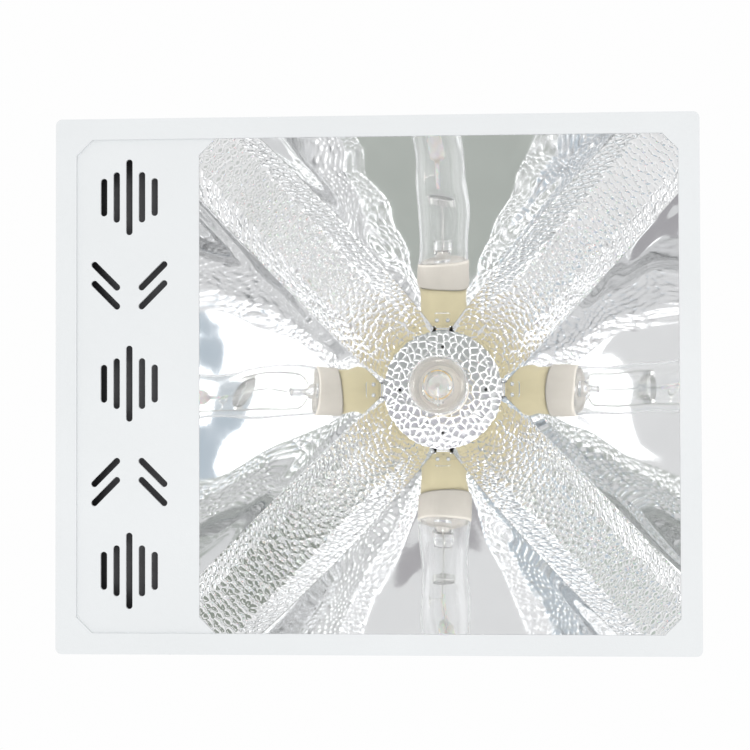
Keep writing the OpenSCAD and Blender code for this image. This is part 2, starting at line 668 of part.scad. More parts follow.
module terminal_block() {
    color("seagreen") difference() {
        box([16, 30, 17], [bay_x - 14, 100, board_top]);
        for (j = [-1 : 1]) {
            rod(5, 3, [bay_x - 14, 100 + j * 9.6, board_top + 13]);
            translate([bay_x - 23, 100 + j * 9.6, board_top + 6]) rotate([0, 90, 0])
                cylinder(h = 8, r = 2.4);
        }
    }
}
module lamp_leads() {
    // Two high-voltage leads from the board, up the bay, through the grommet to the holder
    color("firebrick") for (s = [-1, 1])
        wire(rounded_path([[bay_x + 18, 94 + s * 3.2, board_top + 0.1], [bay_x + 18, 94 + s * 3, 140],
                   [bay_x + 24, lead_y, lead_z + s * 1.7], [lamp_x - 24, lead_y, lead_z + s * 1.7],
                   [lamp_x + s * 2, 0, lead_z + s * 1.7], [lamp_x + s * 2, 0, 160.5]], 8), 1.3);
}

// ------------------------------------------------------------------ controls on the end wall
module inlet_profile(w, h) {
    // Rectangle with two corners cut away, as an appliance inlet has
    c = h * 0.3;
    polygon([[-w / 2, -h / 2], [w / 2, -h / 2], [w / 2, h / 2 - c], [w / 2 - c, h / 2],
             [-w / 2 + c, h / 2], [-w / 2, h / 2 - c]]);
}
module face_out(y) { translate([panel_x, y, control_z]) rotate([0, -90, 0]) rotate(-90) children(); }
module inlet_socket() {
    color("black") face_out(inlet_y) difference() {
        union() {
            linear_extrude(3) rounded_rect(50, 24, 3);
            translate([0, 0, -24]) linear_extrude(25) square([28.4, 21], center = true);
        }
        translate([0, 0, -17]) linear_extrude(24) inlet_profile(24.6, 16.8);
        for (s = [-1, 1]) rod(10, 1.7, [s * 20, 0, -5]);
    }
}
module inlet_pins() {
    color("gainsboro") face_out(inlet_y) for (p = [[-7, -2.4], [7, -2.4], [0, 2.2]])
        translate([p[0], p[1], -28]) linear_extrude(23.5) square([2, 4], center = true);
}
module inlet_screws() {
    color("silver") face_out(inlet_y) for (s = [-1, 1]) {
        translate([s * 20, 0, 3]) countersunk_head(3, 1.8);
        rod(9, 1.5, [s * 20, 0, -6]);
        ring(2.2, 3, 1.55, [s * 20, 0, -sheet - 2.3]);
    }
}
module control_jack() {
    color("dimgray") face_out(jack_y) difference() {
        union() {
            linear_extrude(1.4) square([20, 18], center = true);
            translate([0, 0, -16]) linear_extrude(17) square([16.2, 14.2], center = true);
        }
        translate([0, 0, -12]) linear_extrude(20) square([11.8, 8], center = true);
        translate([0, -5, -12]) linear_extrude(20) square([6, 4], center = true);
    }
}
module selector_switch() {
    color("silver") face_out(0) {
        difference() {
            translate([0, 0, -sheet - 14]) linear_extrude(13.8) square([26, 26], center = true);
            rod(20, 3.1, [0, 0, -14]);
        }
        ring(sheet + nut_t + 1.5, 4.5, 3.1, [0, 0, -sheet - 0.3]);
    }
}
module selector_nut() {
    color("silver") face_out(0) difference() {
        cylinder(h = nut_t, r = 7, $fn = 6);
        rod(4, 4.55, [0, 0, -1]);
    }
}
module selector_shaft() {
    color("silver") face_out(0) rod(shaft_end + 10, 3, [0, 0, -10]);
}
shaft_end = lip_t + fit + knob_reach - 3;
module selector_knob() {
    z0 = nut_t + 2;
    h = lip_t + fit + knob_reach - z0;
    color("black") face_out(0) difference() {
        union() {
            rod(h, knob_r - 1.4, [0, 0, z0]);
            rod(2.4, knob_r, [0, 0, z0]);
            for (t = [0 : 20 : 340]) rotate(t) rod(h - 1, 1.1, [knob_r - 1.6, 0, z0]);
        }
        rod(shaft_end - z0 + 0.02, 3.02, [0, 0, z0 - 0.01]);
        translate([-0.6, 3, z0 + h - 0.6]) cube([1.2, knob_r, 2]);
    }
}

// ------------------------------------------------------------------ hangers
module clip_saddle() {
    // Steel saddle that holds the foot of a hanger against the roof
    difference() {
        union() {
            translate([0, -clip_w / 2, pivot_z]) rotate([-90, 0, 0]) cylinder(h = clip_w, r = wire_r + 1.5);
            box([2 * wire_r + 3, clip_w, pivot_z - body_h], [0, 0, body_h]);
            box([26, clip_w, 1], [0, 0, body_h]);
        }
        translate([0, -clip_w, pivot_z]) rotate([-90, 0, 0]) cylinder(h = 2 * clip_w, r = wire_r + 0.1);
        box([30, 2 * clip_w, 4], [0, 0, body_h - 4]);
    }
}
clips_at = [for (s = [-1, 1], j = [-1, 1]) [s * pivot_x, j * clip_y]];
module hanger_clips() { color("silver") for (p = clips_at) translate([p[0], p[1], 0]) clip_saddle(); }
module clip_rivets() {
    color("silver") for (p = clips_at, s = [-1, 1]) translate([p[0] + s * 9, p[1], body_h + 1]) {
        intersection() {
            cylinder(h = 1.3, r = 2.4);
            translate([0, 0, -2.6]) sphere(r = 3.9);
        }
    }
}
// A hanger drawn with its pivot on the Y axis and its eye towards +X
module hanger() {
    foot = clip_y - clip_w / 2 - 3;
    end = clip_y + clip_w / 2 + 1.5;
    color("silver") {
        for (s = [-1, 1]) {
            translate([0, s * foot, 0]) rotate([-90 * s, 0, 0]) cylinder(h = end - foot, r = wire_r);
            translate([0, s * foot, 0]) sphere(r = wire_r * 1.06);
            translate([0, s * end, 0]) rotate([-90 * s, 0, 0]) cylinder(h = 1.6, r = wire_r + 1);
            bar([0, s * foot, 0], [hanger_l - eye_r, s * (eye_r - 1), 0], wire_r);
        }
        ring(eye_h, eye_r + eye_wall, eye_r, [hanger_l, 0, -eye_h / 2]);
    }
}
module hanger_left() { translate([-pivot_x, 0, pivot_z]) hanger(); }
module hanger_right() { translate([pivot_x, 0, pivot_z]) rotate(180) hanger(); }

// ------------------------------------------------------------------ output
in_frame() housing_shell();
in_frame() bezel_frame();
in_frame() bezel_screws();
in_frame() ballast_cover();
in_frame() partition_wall();
in_frame() partition_grommet();
in_frame() reflector_disc();
in_frame() reflector_arm_front_left();
in_frame() reflector_arm_front_right();
in_frame() reflector_arm_back_left();
in_frame() reflector_arm_back_right();
in_frame() mirror_front();
in_frame() mirror_back();
in_frame() mirror_left();
in_frame() mirror_right();
in_frame() reflector_rivets();
in_frame() reflector_brackets();
in_frame() rim_clips();
in_frame() holder_bridge();
in_frame() bridge_screws();
in_frame() lampholder();
in_frame() holder_screws();
in_frame() holder_terminals();
in_frame() holder_rotor();
in_frame() contact_sleeves();
in_frame() lamp_base();
in_frame() lamp_pins();
in_frame() outer_bulb();
in_frame() lamp_stem();
in_frame() arc_tube();
in_frame() quartz_shroud();
in_frame() support_wires();
in_frame() shroud_straps();
in_frame() getter_ring();
in_frame() insulating_tray();
in_frame() circuit_board();
in_frame() board_standoffs();
in_frame() transformer_core();
in_frame() transformer_winding();
in_frame() choke_cores();
in_frame() choke_windings();
in_frame() bulk_capacitors();
in_frame() film_capacitors();
in_frame() heat_sink();
in_frame() power_transistors();
in_frame() terminal_block();
in_frame() lamp_leads();
in_frame() inlet_socket();
in_frame() inlet_pins();
in_frame() inlet_screws();
in_frame() control_jack();
in_frame() selector_switch();
in_frame() selector_nut();
in_frame() selector_shaft();
in_frame() selector_knob();
in_frame() hanger_clips();
in_frame() clip_rivets();
in_frame() hanger_left();
in_frame() hanger_right();
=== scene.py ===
"""Looks of the hanging grow lamp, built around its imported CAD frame. Metres, +Z up, light towards -Z."""
import json
import math

import bmesh
import bpy
import numpy as np
from mathutils import Matrix, Vector


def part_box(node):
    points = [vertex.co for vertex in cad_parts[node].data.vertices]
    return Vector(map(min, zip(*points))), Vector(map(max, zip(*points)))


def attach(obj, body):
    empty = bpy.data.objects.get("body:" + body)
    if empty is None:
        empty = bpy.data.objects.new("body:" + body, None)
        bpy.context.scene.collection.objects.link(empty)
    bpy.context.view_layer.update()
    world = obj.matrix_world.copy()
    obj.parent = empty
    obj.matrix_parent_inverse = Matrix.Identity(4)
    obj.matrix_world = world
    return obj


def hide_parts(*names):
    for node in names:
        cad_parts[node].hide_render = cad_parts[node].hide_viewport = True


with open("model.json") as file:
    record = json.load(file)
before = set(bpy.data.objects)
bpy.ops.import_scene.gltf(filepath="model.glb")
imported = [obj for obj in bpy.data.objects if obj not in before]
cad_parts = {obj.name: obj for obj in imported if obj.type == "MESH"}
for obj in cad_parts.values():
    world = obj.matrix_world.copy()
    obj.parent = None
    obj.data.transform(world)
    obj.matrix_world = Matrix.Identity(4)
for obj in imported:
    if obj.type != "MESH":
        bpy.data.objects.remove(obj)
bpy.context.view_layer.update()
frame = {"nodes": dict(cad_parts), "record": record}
MM = 0.001


# ---------------------------------------------------------------- places taken from the frame
def middle(node):
    low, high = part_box(node)
    return (low + high) / 2


bulb_low, bulb_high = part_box("outer_bulb")
holder_low, holder_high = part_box("lampholder")
disc_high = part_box("reflector_disc")[1]
bezel_low, bezel_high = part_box("bezel_frame")
LAMP_X = middle("outer_bulb").x
HOUSING_X = (bezel_low.x + bezel_high.x) / 2
BULB_R = (bulb_high.x - bulb_low.x) / 2


# ---------------------------------------------------------------- node materials
class Shader:
    """A material being built: a Principled shader and short calls that add nodes to it."""

    def __init__(self, name, color, roughness, **sockets):
        self.material = bpy.data.materials.new(name)
        self.material.use_nodes = True
        self.tree = self.material.node_tree
        self.bsdf = self.tree.nodes["Principled BSDF"]
        self.place = self.node("ShaderNodeTexCoord").outputs["Object"]
        self.set("Base Color", (*color, 1))
        self.set("Roughness", roughness)
        for key, value in sockets.items():
            self.set(key.replace("_", " "), value)

    def set(self, key, value):
        self.bsdf.inputs[key].default_value = value

    def node(self, kind, **settings):
        made = self.tree.nodes.new(kind)
        for key, value in settings.items():
            setattr(made, key, value)
        return made

    def link(self, a, b):
        self.tree.links.new(a, b)

    def noise(self, scale, detail=3.0, stretch=None, roughness=0.55):
        """Noise over the object's own place; scale is in blobs per metre."""
        made = self.node("ShaderNodeTexNoise")
        made.inputs["Scale"].default_value = scale
        made.inputs["Detail"].default_value = detail
        made.inputs["Roughness"].default_value = roughness
        source = self.place
        if stretch:
            mapping = self.node("ShaderNodeMapping")
            mapping.inputs["Scale"].default_value = stretch
            self.link(source, mapping.inputs["Vector"])
            source = mapping.outputs["Vector"]
        self.link(source, made.inputs["Vector"])
        return made.outputs["Fac"]

    def ramp(self, source, stops):
        made = self.node("ShaderNodeValToRGB")
        while len(made.color_ramp.elements) < len(stops):
            made.color_ramp.elements.new(0.5)
        for element, (at, color) in zip(made.color_ramp.elements, stops):
            element.position = at
            element.color = (*color, 1)
        self.link(source, made.inputs["Fac"])
        return made.outputs["Color"]

    def span(self, source, low, high, from_low=0.3, from_high=0.7):
        made = self.node("ShaderNodeMapRange")
        made.inputs["From Min"].default_value = from_low
        made.inputs["From Max"].default_value = from_high
        made.inputs["To Min"].default_value = low
        made.inputs["To Max"].default_value = high
        self.link(source, made.inputs["Value"])
        return made.outputs["Result"]

    def color_from(self, source, stops):
        self.link(self.ramp(source, stops), self.bsdf.inputs["Base Color"])
        return self

    def roughness_from(self, source, low, high):
        self.link(self.span(source, low, high), self.bsdf.inputs["Roughness"])
        return self

    def bump(self, source, distance, strength=1.0):
        made = self.node("ShaderNodeBump")
        made.inputs["Distance"].default_value = distance
        made.inputs["Strength"].default_value = strength
        self.link(source, made.inputs["Height"])
        last = self.bsdf.inputs["Normal"].links
        if last:
            self.link(last[0].from_socket, made.inputs["Normal"])
        self.link(made.outputs["Normal"], self.bsdf.inputs["Normal"])
        return self


def tint(color, share):
    return tuple(min(1.0, c * share) for c in color)


def plain(name, color, roughness, spread=0.06, grain=900, bump=0.00004, **sockets):
    """A surface whose colour and gloss vary a little, with a fine grain in relief."""
    s = Shader(name, color, roughness, **sockets)
    blotches = s.noise(60)
    s.color_from(blotches, [(0.3, tint(color, 1 - spread)), (0.7, tint(color, 1 + spread))])
    s.roughness_from(s.noise(220), roughness * 0.88, min(1, roughness * 1.12))
    return s.bump(s.noise(grain), bump).material


def powder_coat():
    white = (0.785, 0.805, 0.815)
    s = Shader("white_powder_coat", white, 0.42)
    s.color_from(s.noise(9, 2), [(0.35, tint(white, 0.985)), (0.65, tint(white, 1.01))])
    s.roughness_from(s.noise(180), 0.38, 0.47)
    return s.bump(s.noise(1100, 2), 0.00006).bump(s.noise(420, 2), 0.00005).material


def zinc():
    gray = (0.62, 0.63, 0.65)
    s = Shader("zinc_steel", gray, 0.34, Metallic=1.0)
    s.color_from(s.noise(120, 4), [(0.3, tint(gray, 0.86)), (0.7, tint(gray, 1.12))])
    s.roughness_from(s.noise(400, 3), 0.26, 0.44)
    return s.bump(s.noise(1500, 2), 0.00002).material


def hammered():
    bright = (0.885, 0.89, 0.895)
    s = Shader("hammered_aluminium", bright, 0.085, Metallic=1.0)
    s.color_from(s.noise(40, 2), [(0.3, tint(bright, 0.97)), (0.7, tint(bright, 1.02))])
    s.roughness_from(s.noise(500, 2), 0.06, 0.12)
    return s.bump(s.noise(900, 2), 0.000012).material


def mirror_sheet_finish():
    bright = (0.9, 0.905, 0.91)
    s = Shader("mirror_aluminium", bright, 0.035, Metallic=1.0)
    s.color_from(s.noise(25, 2), [(0.3, tint(bright, 0.985)), (0.7, tint(bright, 1.01))])
    s.roughness_from(s.noise(70, 2), 0.025, 0.05)
    return s.bump(s.noise(300, 1, (1, 1, 0.12)), 0.000004).material


def brushed(name, color, roughness=0.3):
    s = Shader(name, color, roughness, Metallic=1.0)
    s.color_from(s.noise(150, 3), [(0.3, tint(color, 0.9)), (0.7, tint(color, 1.08))])
    s.roughness_from(s.noise(700, 2, (1, 1, 8)), roughness * 0.8, roughness * 1.25)
    return s.bump(s.noise(1200, 2, (1, 1, 10)), 0.00001).material


def drawn_lines(s):
    """Faint drawing lines along a glass tube."""
    return s.bump(s.noise(160, 2, (1, 1, 0.18)), 0.00003).material


def clear_glass():
    return drawn_lines(Shader("clear_glass", (1, 1, 1), 0.0, Transmission_Weight=1.0, IOR=1.46))


def thin_glass(name, shares):
    """Clear thin glass drawn as a white layer: how much of it shows face on, at two steeper angles and
    along its edges. The white, strongest along the edges, is painted sheen in place of the glass's
    reflections.
    """
    s = Shader(name, (0.93, 0.94, 0.94), 0.03)
    facing = s.node("ShaderNodeLayerWeight")
    facing.inputs["Blend"].default_value = 0.5
    edge = s.node("ShaderNodeFloatCurve")
    curve = edge.mapping.curves[0]
    for at, value in zip((0.55, 0.8), shares[1:3]):
        curve.points.new(at, value)
    curve.points[0].location = (0, shares[0])
    curve.points[-1].location = (1, shares[3])
    edge.mapping.update()
    s.link(facing.outputs["Facing"], edge.inputs["Value"])
    s.link(edge.outputs["Value"], s.bsdf.inputs["Alpha"])
    s.roughness_from(s.noise(90, 2), 0.02, 0.05)
    return drawn_lines(s)


def arc_ceramic():
    white = (0.93, 0.91, 0.87)
    s = Shader("arc_ceramic", white, 0.3, Subsurface_Weight=0.4, Subsurface_Scale=0.003)
    s.color_from(s.noise(200, 2), [(0.3, tint(white, 0.96)), (0.7, tint(white, 1.02))])
    return s.bump(s.noise(2500, 2), 0.00001).material


def winding():
    """Enamelled copper: fine ridges that run round the coil."""
    copper = (0.52, 0.22, 0.08)
    s = Shader("winding_wire", copper, 0.3, Metallic=0.8)
    wave = s.node("ShaderNodeTexWave", wave_type="BANDS", bands_direction="Z")
    wave.inputs["Scale"].default_value = 420
    s.link(s.place, wave.inputs["Vector"])
    s.color_from(s.noise(300, 2), [(0.3, tint(copper, 0.75)), (0.7, tint(copper, 1.3))])
    return s.bump(wave.outputs["Fac"], 0.0002).material


FINISHES = {
    "white_powder_coat": powder_coat(),
    "zinc_steel": zinc(),
    "hammered_aluminium": hammered(),
    "mirror_aluminium": mirror_sheet_finish(),
    "plain_aluminium": brushed("plain_aluminium", (0.82, 0.83, 0.84), 0.24),
    "cream_ceramic": plain("cream_ceramic", (0.90, 0.80, 0.53), 0.5, 0.03, 700, 0.00003),
    "white_ceramic": plain("white_ceramic", (0.77, 0.72, 0.645), 0.55, 0.03, 800, 0.00004),
    "arc_ceramic": arc_ceramic(),
    "clear_glass": clear_glass(),
    "thin_clear_glass": thin_glass("thin_clear_glass", (0.035, 0.07, 0.26, 0.8)),
    # the bulb's outer white shell: painted sheen, whiter along its edges, in place of the glass's
    # reflections
    "sheen_shell_glass": thin_glass("sheen_shell_glass", (0.14, 0.18, 0.4, 0.9)),
    "nickel_wire": brushed("nickel_wire", (0.70, 0.69, 0.66), 0.22),
    "brass": brushed("brass", (0.78, 0.58, 0.26), 0.28),
    "black_plastic": plain("black_plastic", (0.022, 0.022, 0.024), 0.42, 0.15, 1500, 0.00003),
    "green_board": plain("green_board", (0.02, 0.16, 0.07), 0.35, 0.2, 300, 0.00003),
    "ferrite": plain("ferrite", (0.055, 0.055, 0.06), 0.6, 0.2, 1200, 0.00005),
    "winding_wire": winding(),
    "capacitor_sleeve": plain("capacitor_sleeve", (0.012, 0.02, 0.06), 0.22, 0.1),
    "yellow_film": plain("yellow_film", (0.72, 0.50, 0.04), 0.3, 0.08),
    "silicone_lead": plain("silicone_lead", (0.50, 0.03, 0.02), 0.45, 0.1),
    # black_rubber colours the disc's hole plugs, which are painted shade
    "black_rubber": plain("black_rubber", (0.018, 0.018, 0.018), 0.7, 0.2),
}


# ---------------------------------------------------------------- mesh helpers
def set_material(obj, slot):
    obj.data.materials.clear()
    obj.data.materials.append(FINISHES[slot])


def piece(name, verts, faces, body, slot, nodes=(), crease=60):
    """A new mesh piece that rides on a CAD body and stands for the CAD nodes named."""
    mesh = bpy.data.meshes.new(name)
    mesh.from_pydata([tuple(map(float, v)) for v in verts], [], [tuple(map(int, f)) for f in faces])
    mesh.validate()
    build = bmesh.new()
    build.from_mesh(mesh)
    bmesh.ops.recalc_face_normals(build, faces=build.faces)
    build.to_mesh(mesh)
    build.free()
    mesh.shade_smooth()
    mesh.set_sharp_from_angle(angle=math.radians(crease))
    obj = bpy.data.objects.new(name, mesh)
    bpy.context.scene.collection.objects.link(obj)
    return finish_piece(obj, body, slot, nodes)


def finish_piece(obj, body, slot, nodes=()):
    set_material(obj, slot)
    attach(obj, body)
    if nodes:
        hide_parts(*nodes)
    return obj


def grid_faces(rows, cols, start=0, wrap=False, flip=False):
    """Four-sided faces of a grid of points, row by row."""
    i, j = np.meshgrid(np.arange(rows - 1), np.arange(cols if wrap else cols - 1), indexing="ij")
    i, j = i.ravel(), j.ravel()
    k = (j + 1) % cols
    quads = np.stack([i * cols + j, i * cols + k, (i + 1) * cols + k, (i + 1) * cols + j], axis=1)
    return (quads[:, ::-1] if flip else quads) + start


def closed_sheet(front, back, flip=False):
    """Points and faces of a thin closed sheet between two grids of points."""
    rows, cols = front.shape[:2]
    count = rows * cols
    edge = np.concatenate([np.arange(cols), np.arange(1, rows) * cols + cols - 1,
                           (rows - 1) * cols + np.arange(cols - 2, -1, -1),
                           np.arange(rows - 2, 0, -1) * cols])
    after = np.roll(edge, -1)
    rim = np.stack([edge, edge + count, after + count, after], axis=1)
    rim = rim[:, ::-1] if flip else rim
    faces = np.concatenate([grid_faces(rows, cols, 0, False, flip),
                            grid_faces(rows, cols, count, False, not flip), rim])
    return np.concatenate([front.reshape(-1, 3), back.reshape(-1, 3)]), faces


def lathe(profile, x, y=0.0, sides=96, closed=False):
    """Points and faces of a profile of (radius, z) turned about an upright axis."""
    profile = np.array(profile, float)
    turn = np.linspace(0, 2 * np.pi, sides, endpoint=False)
    r, z = profile[:, 0], profile[:, 1]
    points = np.stack([x + r[:, None] * np.cos(turn), y + r[:, None] * np.sin(turn),
                       np.repeat(z[:, None], sides, 1)], axis=2).reshape(-1, 3)
    faces = list(grid_faces(len(profile), sides, 0, True))
    return points, faces + (joining_faces((len(profile) - 1) * sides, sides) if closed else [])


def joining_faces(last, sides):
    """Faces from the last ring of points, which starts at the number given, back to the first."""
    return [(last + k, last + (k + 1) % sides, (k + 1) % sides, k) for k in range(sides)]


def end_caps(last, sides):
    """One face over the first ring of points and one over the last."""
    return [tuple(range(sides - 1, -1, -1)), tuple(range(last, last + sides))]


def tube(points, radius, sides=12, closed=False):
    """Points and faces of a round wire along a list of points."""
    p = np.array(points, float)
    count = len(p)
    ahead = np.roll(p, -1, 0) - np.roll(p, 1, 0) if closed else np.gradient(p, axis=0)
    ahead /= np.linalg.norm(ahead, axis=1)[:, None]
    side = np.cross(ahead[0], (0.31, 0.22, 0.93))
    rings = []
    for k in range(count):
        side = side - ahead[k] * np.dot(side, ahead[k])
        side /= np.linalg.norm(side)
        up = np.cross(ahead[k], side)
        a = np.linspace(0, 2 * np.pi, sides, endpoint=False)[:, None]
        rings.append(p[k] + radius * (np.cos(a) * side + np.sin(a) * up))
    points = np.concatenate(rings)
    finish = joining_faces if closed else end_caps
    return points, list(grid_faces(count, sides, 0, True)) + finish((count - 1) * sides, sides)


def joined(*parts):
    """Several (points, faces) pairs as one."""
    points, faces, start = [], [], 0
    for p, f in parts:
        points += list(p)
        faces += [tuple(int(i) + start for i in face) for face in f]
        start += len(p)
    return points, faces


def smooth_path(points, per_span=10):
    """A Catmull-Rom curve through the points given."""
    p = np.array(points, float)
    p = np.concatenate([[2 * p[0] - p[1]], p, [2 * p[-1] - p[-2]]])
    out = []
    for i in range(1, len(p) - 2):
        t = np.linspace(0, 1, per_span, endpoint=False)[:, None]
        a, b, c, d = p[i - 1], p[i], p[i + 1], p[i + 2]
        out.append(0.5 * (2 * b + (c - a) * t + (2 * a - 5 * b + 4 * c - d) * t ** 2
                          + (3 * b - a - 3 * c + d) * t ** 3))
    return np.concatenate(out + [p[-2:-1]])


def softened(node, body, slot, width, segments):
    """A copy of a CAD node with its sharp edges rounded, in that node's place."""
    source = frame["nodes"][node]
    mesh = source.data.copy()
    build = bmesh.new()
    build.from_mesh(mesh)
    bmesh.ops.remove_doubles(build, verts=build.verts, dist=2e-6)
    bmesh.ops.dissolve_limit(build, angle_limit=math.radians(1), verts=build.verts, edges=build.edges)
    build.to_mesh(mesh)
    build.free()
    obj = bpy.data.objects.new("soft_" + node, mesh)
    bpy.context.scene.collection.objects.link(obj)
    bevel = obj.modifiers.new("edges", "BEVEL")
    bevel.width = width
    bevel.segments = segments
    bevel.limit_method = "ANGLE"
    bevel.angle_limit = math.radians(35)
    bevel.use_clamp_overlap = True
    bevel.harden_normals = True
    mesh.shade_smooth()
    mesh.set_sharp_from_angle(angle=math.radians(35))
    return finish_piece(obj, body, slot, [node])


# ---------------------------------------------------------------- bowl geometry, in millimetres
BOWL_H = 160.0            # from the bezel's lower face up to the disc
DISC_R = 44.0
SLOPE_TOP, SLOPE_LONG, SLOPE_SHORT = 50.0, 56.5, 58.5
FACET_HALF = 15.4         # half width of an arm's middle facet
ARM_RIM = (145.5, 154.0)  # middle of an arm at the bezel
MIRROR_TOP, MIRROR_RIM, MIRROR_BULGE = (5.0, 3.0), (120.5, 129.5), (-2.0, 3.0)
SHEET_TOP, SHEET_RIM = 163.0, 4.2
FOIL = 0.8                # thickness of the sheet
EDGE_FOIL = 0.15          # the arms' long edges are rolled thin, so that the mirrors lie close behind
ARM_STEP = 0.57           # mesh width of the arms
ARM_BEND = 1.6            # how softly an arm's facets meet
ARM_SEEDS = {"front_right": 11, "front_left": 12, "back_right": 13, "back_left": 14}
PEBBLE = 5.3              # distance between hammer marks
PEBBLE_H = 0.5            # their depth on the arms
DISC_PEBBLE = 5.4         # the same for the disc, whose marks are shallow flat-bottomed dents
DISC_PEBBLE_H = 0.13
DISC_Z = disc_high.z / MM - FOIL
DISC_SEED = 41
HOLE_OUT = 32.0           # distance of the disc's four holes from the lamp's axis
HOLE_R, HOLE_BAND = 1.2, 0.3  # their radius, and the width over which the mesh is pressed back
MIRROR_STEP = 2.0         # mesh width of the mirror panels down their slope
MIRROR_COLS = 90
MIRROR_GAP = 0.08         # between an arm's back and the mirror behind it
MIRROR_FADE = 14.0        # a panel's unevenness fades out over this width at its shown edges
WAVE_LENGTHS, WAVE_H = (95, 62, 130, 44, 52), 0.42
TWIST_WIDTH = 25.0        # the middle of a mirror panel that turns with its twist
TWIST_FROM, TWIST_OVER = 95, 110  # where down the panel the twist starts, and over what length
TAB_NECK, TAB_WIDE, TAB_LENGTH = 9.7, 11.4, 15.0  # widths at and past a tongue's bend, and its length
TAB_FOIL = 0.5
TAB_BEND = DISC_R + 2.2   # how far out the disc's tongues bend
RIVET_OUT = 51.2          # distance of the rivets from the lamp's axis
RIVET_SIDE = 4.0          # and to each side of a tongue's middle
GATHER_FROM = 138.0       # height from which the arms' ends close in round the disc
GATHER_SIDE = 3.0         # along its long edges an arm keeps its line
TAB_SETTLE = 0.2          # how far a tongue's end settles against its mirror


def share_down(z):
    """How far down the bowl a height lies, from 0 at the disc to 1 at the bezel."""
    return (BOWL_H - z) / BOWL_H


def wall_r(z, rim_slope):
    """Distance of a wall from the lamp's axis; its slope changes evenly from the disc to the bezel."""
    turn = math.radians(rim_slope - SLOPE_TOP)
    start = math.radians(SLOPE_TOP)
    return DISC_R + BOWL_H / turn * np.log(np.sin(start + turn * share_down(z)) / math.sin(start))


def mirror_half(z, k):
    """Half the shown width of a mirror panel: k is 0 for front and back, 1 for left and right."""
    s = share_down(z)
    return MIRROR_TOP[k] + (MIRROR_RIM[k] - MIRROR_TOP[k]) * s + MIRROR_BULGE[k] * 4 * s * (1 - s)


def arm_corners(z):
    """The four corners of an arm's section at each height, for the arm towards +X and -Y."""
    run = (wall_r(z, SLOPE_LONG) - DISC_R) / (wall_r(0, SLOPE_LONG) - DISC_R)
    top = math.sqrt(DISC_R ** 2 - FACET_HALF ** 2) / math.sqrt(2)
    mx, my = top + (ARM_RIM[0] - top) * run, top + (ARM_RIM[1] - top) * run
    a = FACET_HALF / math.sqrt(2)
    rows = [(mirror_half(z, 0), -wall_r(z, SLOPE_LONG)), (mx - a, -my - a),
            (mx + a, -my + a), (wall_r(z, SLOPE_SHORT), -mirror_half(z, 1))]
    return np.array([np.stack([x, y, z], axis=-1) for x, y in rows])


def cells(u, v, pitch, seed, jitter=0.45):
    """Distances from each place to its nearest and next nearest hammer mark, in pitches."""
    rng = np.random.default_rng(seed)
    du, dv = rng.uniform(-jitter, jitter, (2, 128, 128))
    a, b = u / pitch, v / (pitch * 0.866)
    i0, j0 = np.floor(a).astype(int), np.floor(b).astype(int)
    near = np.full(u.shape, 9.0)
    second = np.full(u.shape, 9.0)
    for dj in (-1, 0, 1, 2):
        for di in (-2, -1, 0, 1, 2):
            i, j = i0 + di, j0 + dj
            x = i + 0.5 * (j % 2) + du[i % 128, j % 128]
            y = j + dv[i % 128, j % 128]
            d = np.hypot(a - x, (b - y) * 0.866)
            second = np.where(d < near, near, np.minimum(second, d))
            near = np.minimum(near, d)
    return near, second


def pebbles(u, v, pitch, seed, dome_share, groove):
    """Height from 0 to 1 of close-set marks: flat-topped domes with a groove between."""
    near, second = cells(u, v, pitch, seed)
    dome = np.clip(1 - (near / 0.62) ** 2, -0.4, 1)
    rise = np.clip((second - near) / groove, 0, 1)
    return dome_share * dome + (1 - dome_share) * rise * rise * (3 - 2 * rise)


def inward_normals(grid):
    """Unit normals of a grid of points, on the side that faces down into the light."""
    du, dv = np.gradient(grid, axis=1), np.gradient(grid, axis=0)
    n = np.cross(du, dv)
    n /= np.linalg.norm(n, axis=2)[:, :, None]
    return n * np.where(n[:, :, 2:3] > 0, -1, 1)


def gathered(grid, edge):
    """The upper ends of an arm drawn in, so that they lie close round the disc's edge."""
    x, y, z = grid[..., 0], grid[..., 1], grid[..., 2]
    r = np.hypot(x, y)
    share = np.clip((z - GATHER_FROM) / (DISC_Z - GATHER_FROM), 0, 1) ** 2
    beside = np.clip(edge / GATHER_SIDE, 0, 1)
    full = wall_r(DISC_Z, SLOPE_LONG) - DISC_R - 0.3
    hug = DISC_R + 0.3 + (DISC_Z - z) / math.tan(math.radians(SLOPE_TOP))
    drawn = np.maximum(r - full * share * beside, np.minimum(r, hug))
    out = grid.copy()
    out[..., :2] *= (drawn / r)[..., None]
    return out


def place_in_bowl(grid, sx=1, sy=1):
    """From the bowl's own millimetres to the frame's metres."""
    out = grid * np.array([sx, sy, 1]) * MM
    out[..., 0] += LAMP_X
    return out


def spun(turn):
    """The rotation, as grid @ spun(turn), that takes the front of the bowl to another side."""
    c, s = math.cos(turn), math.sin(turn)
    return np.array([[c, s, 0], [-s, c, 0], [0, 0, 1]])


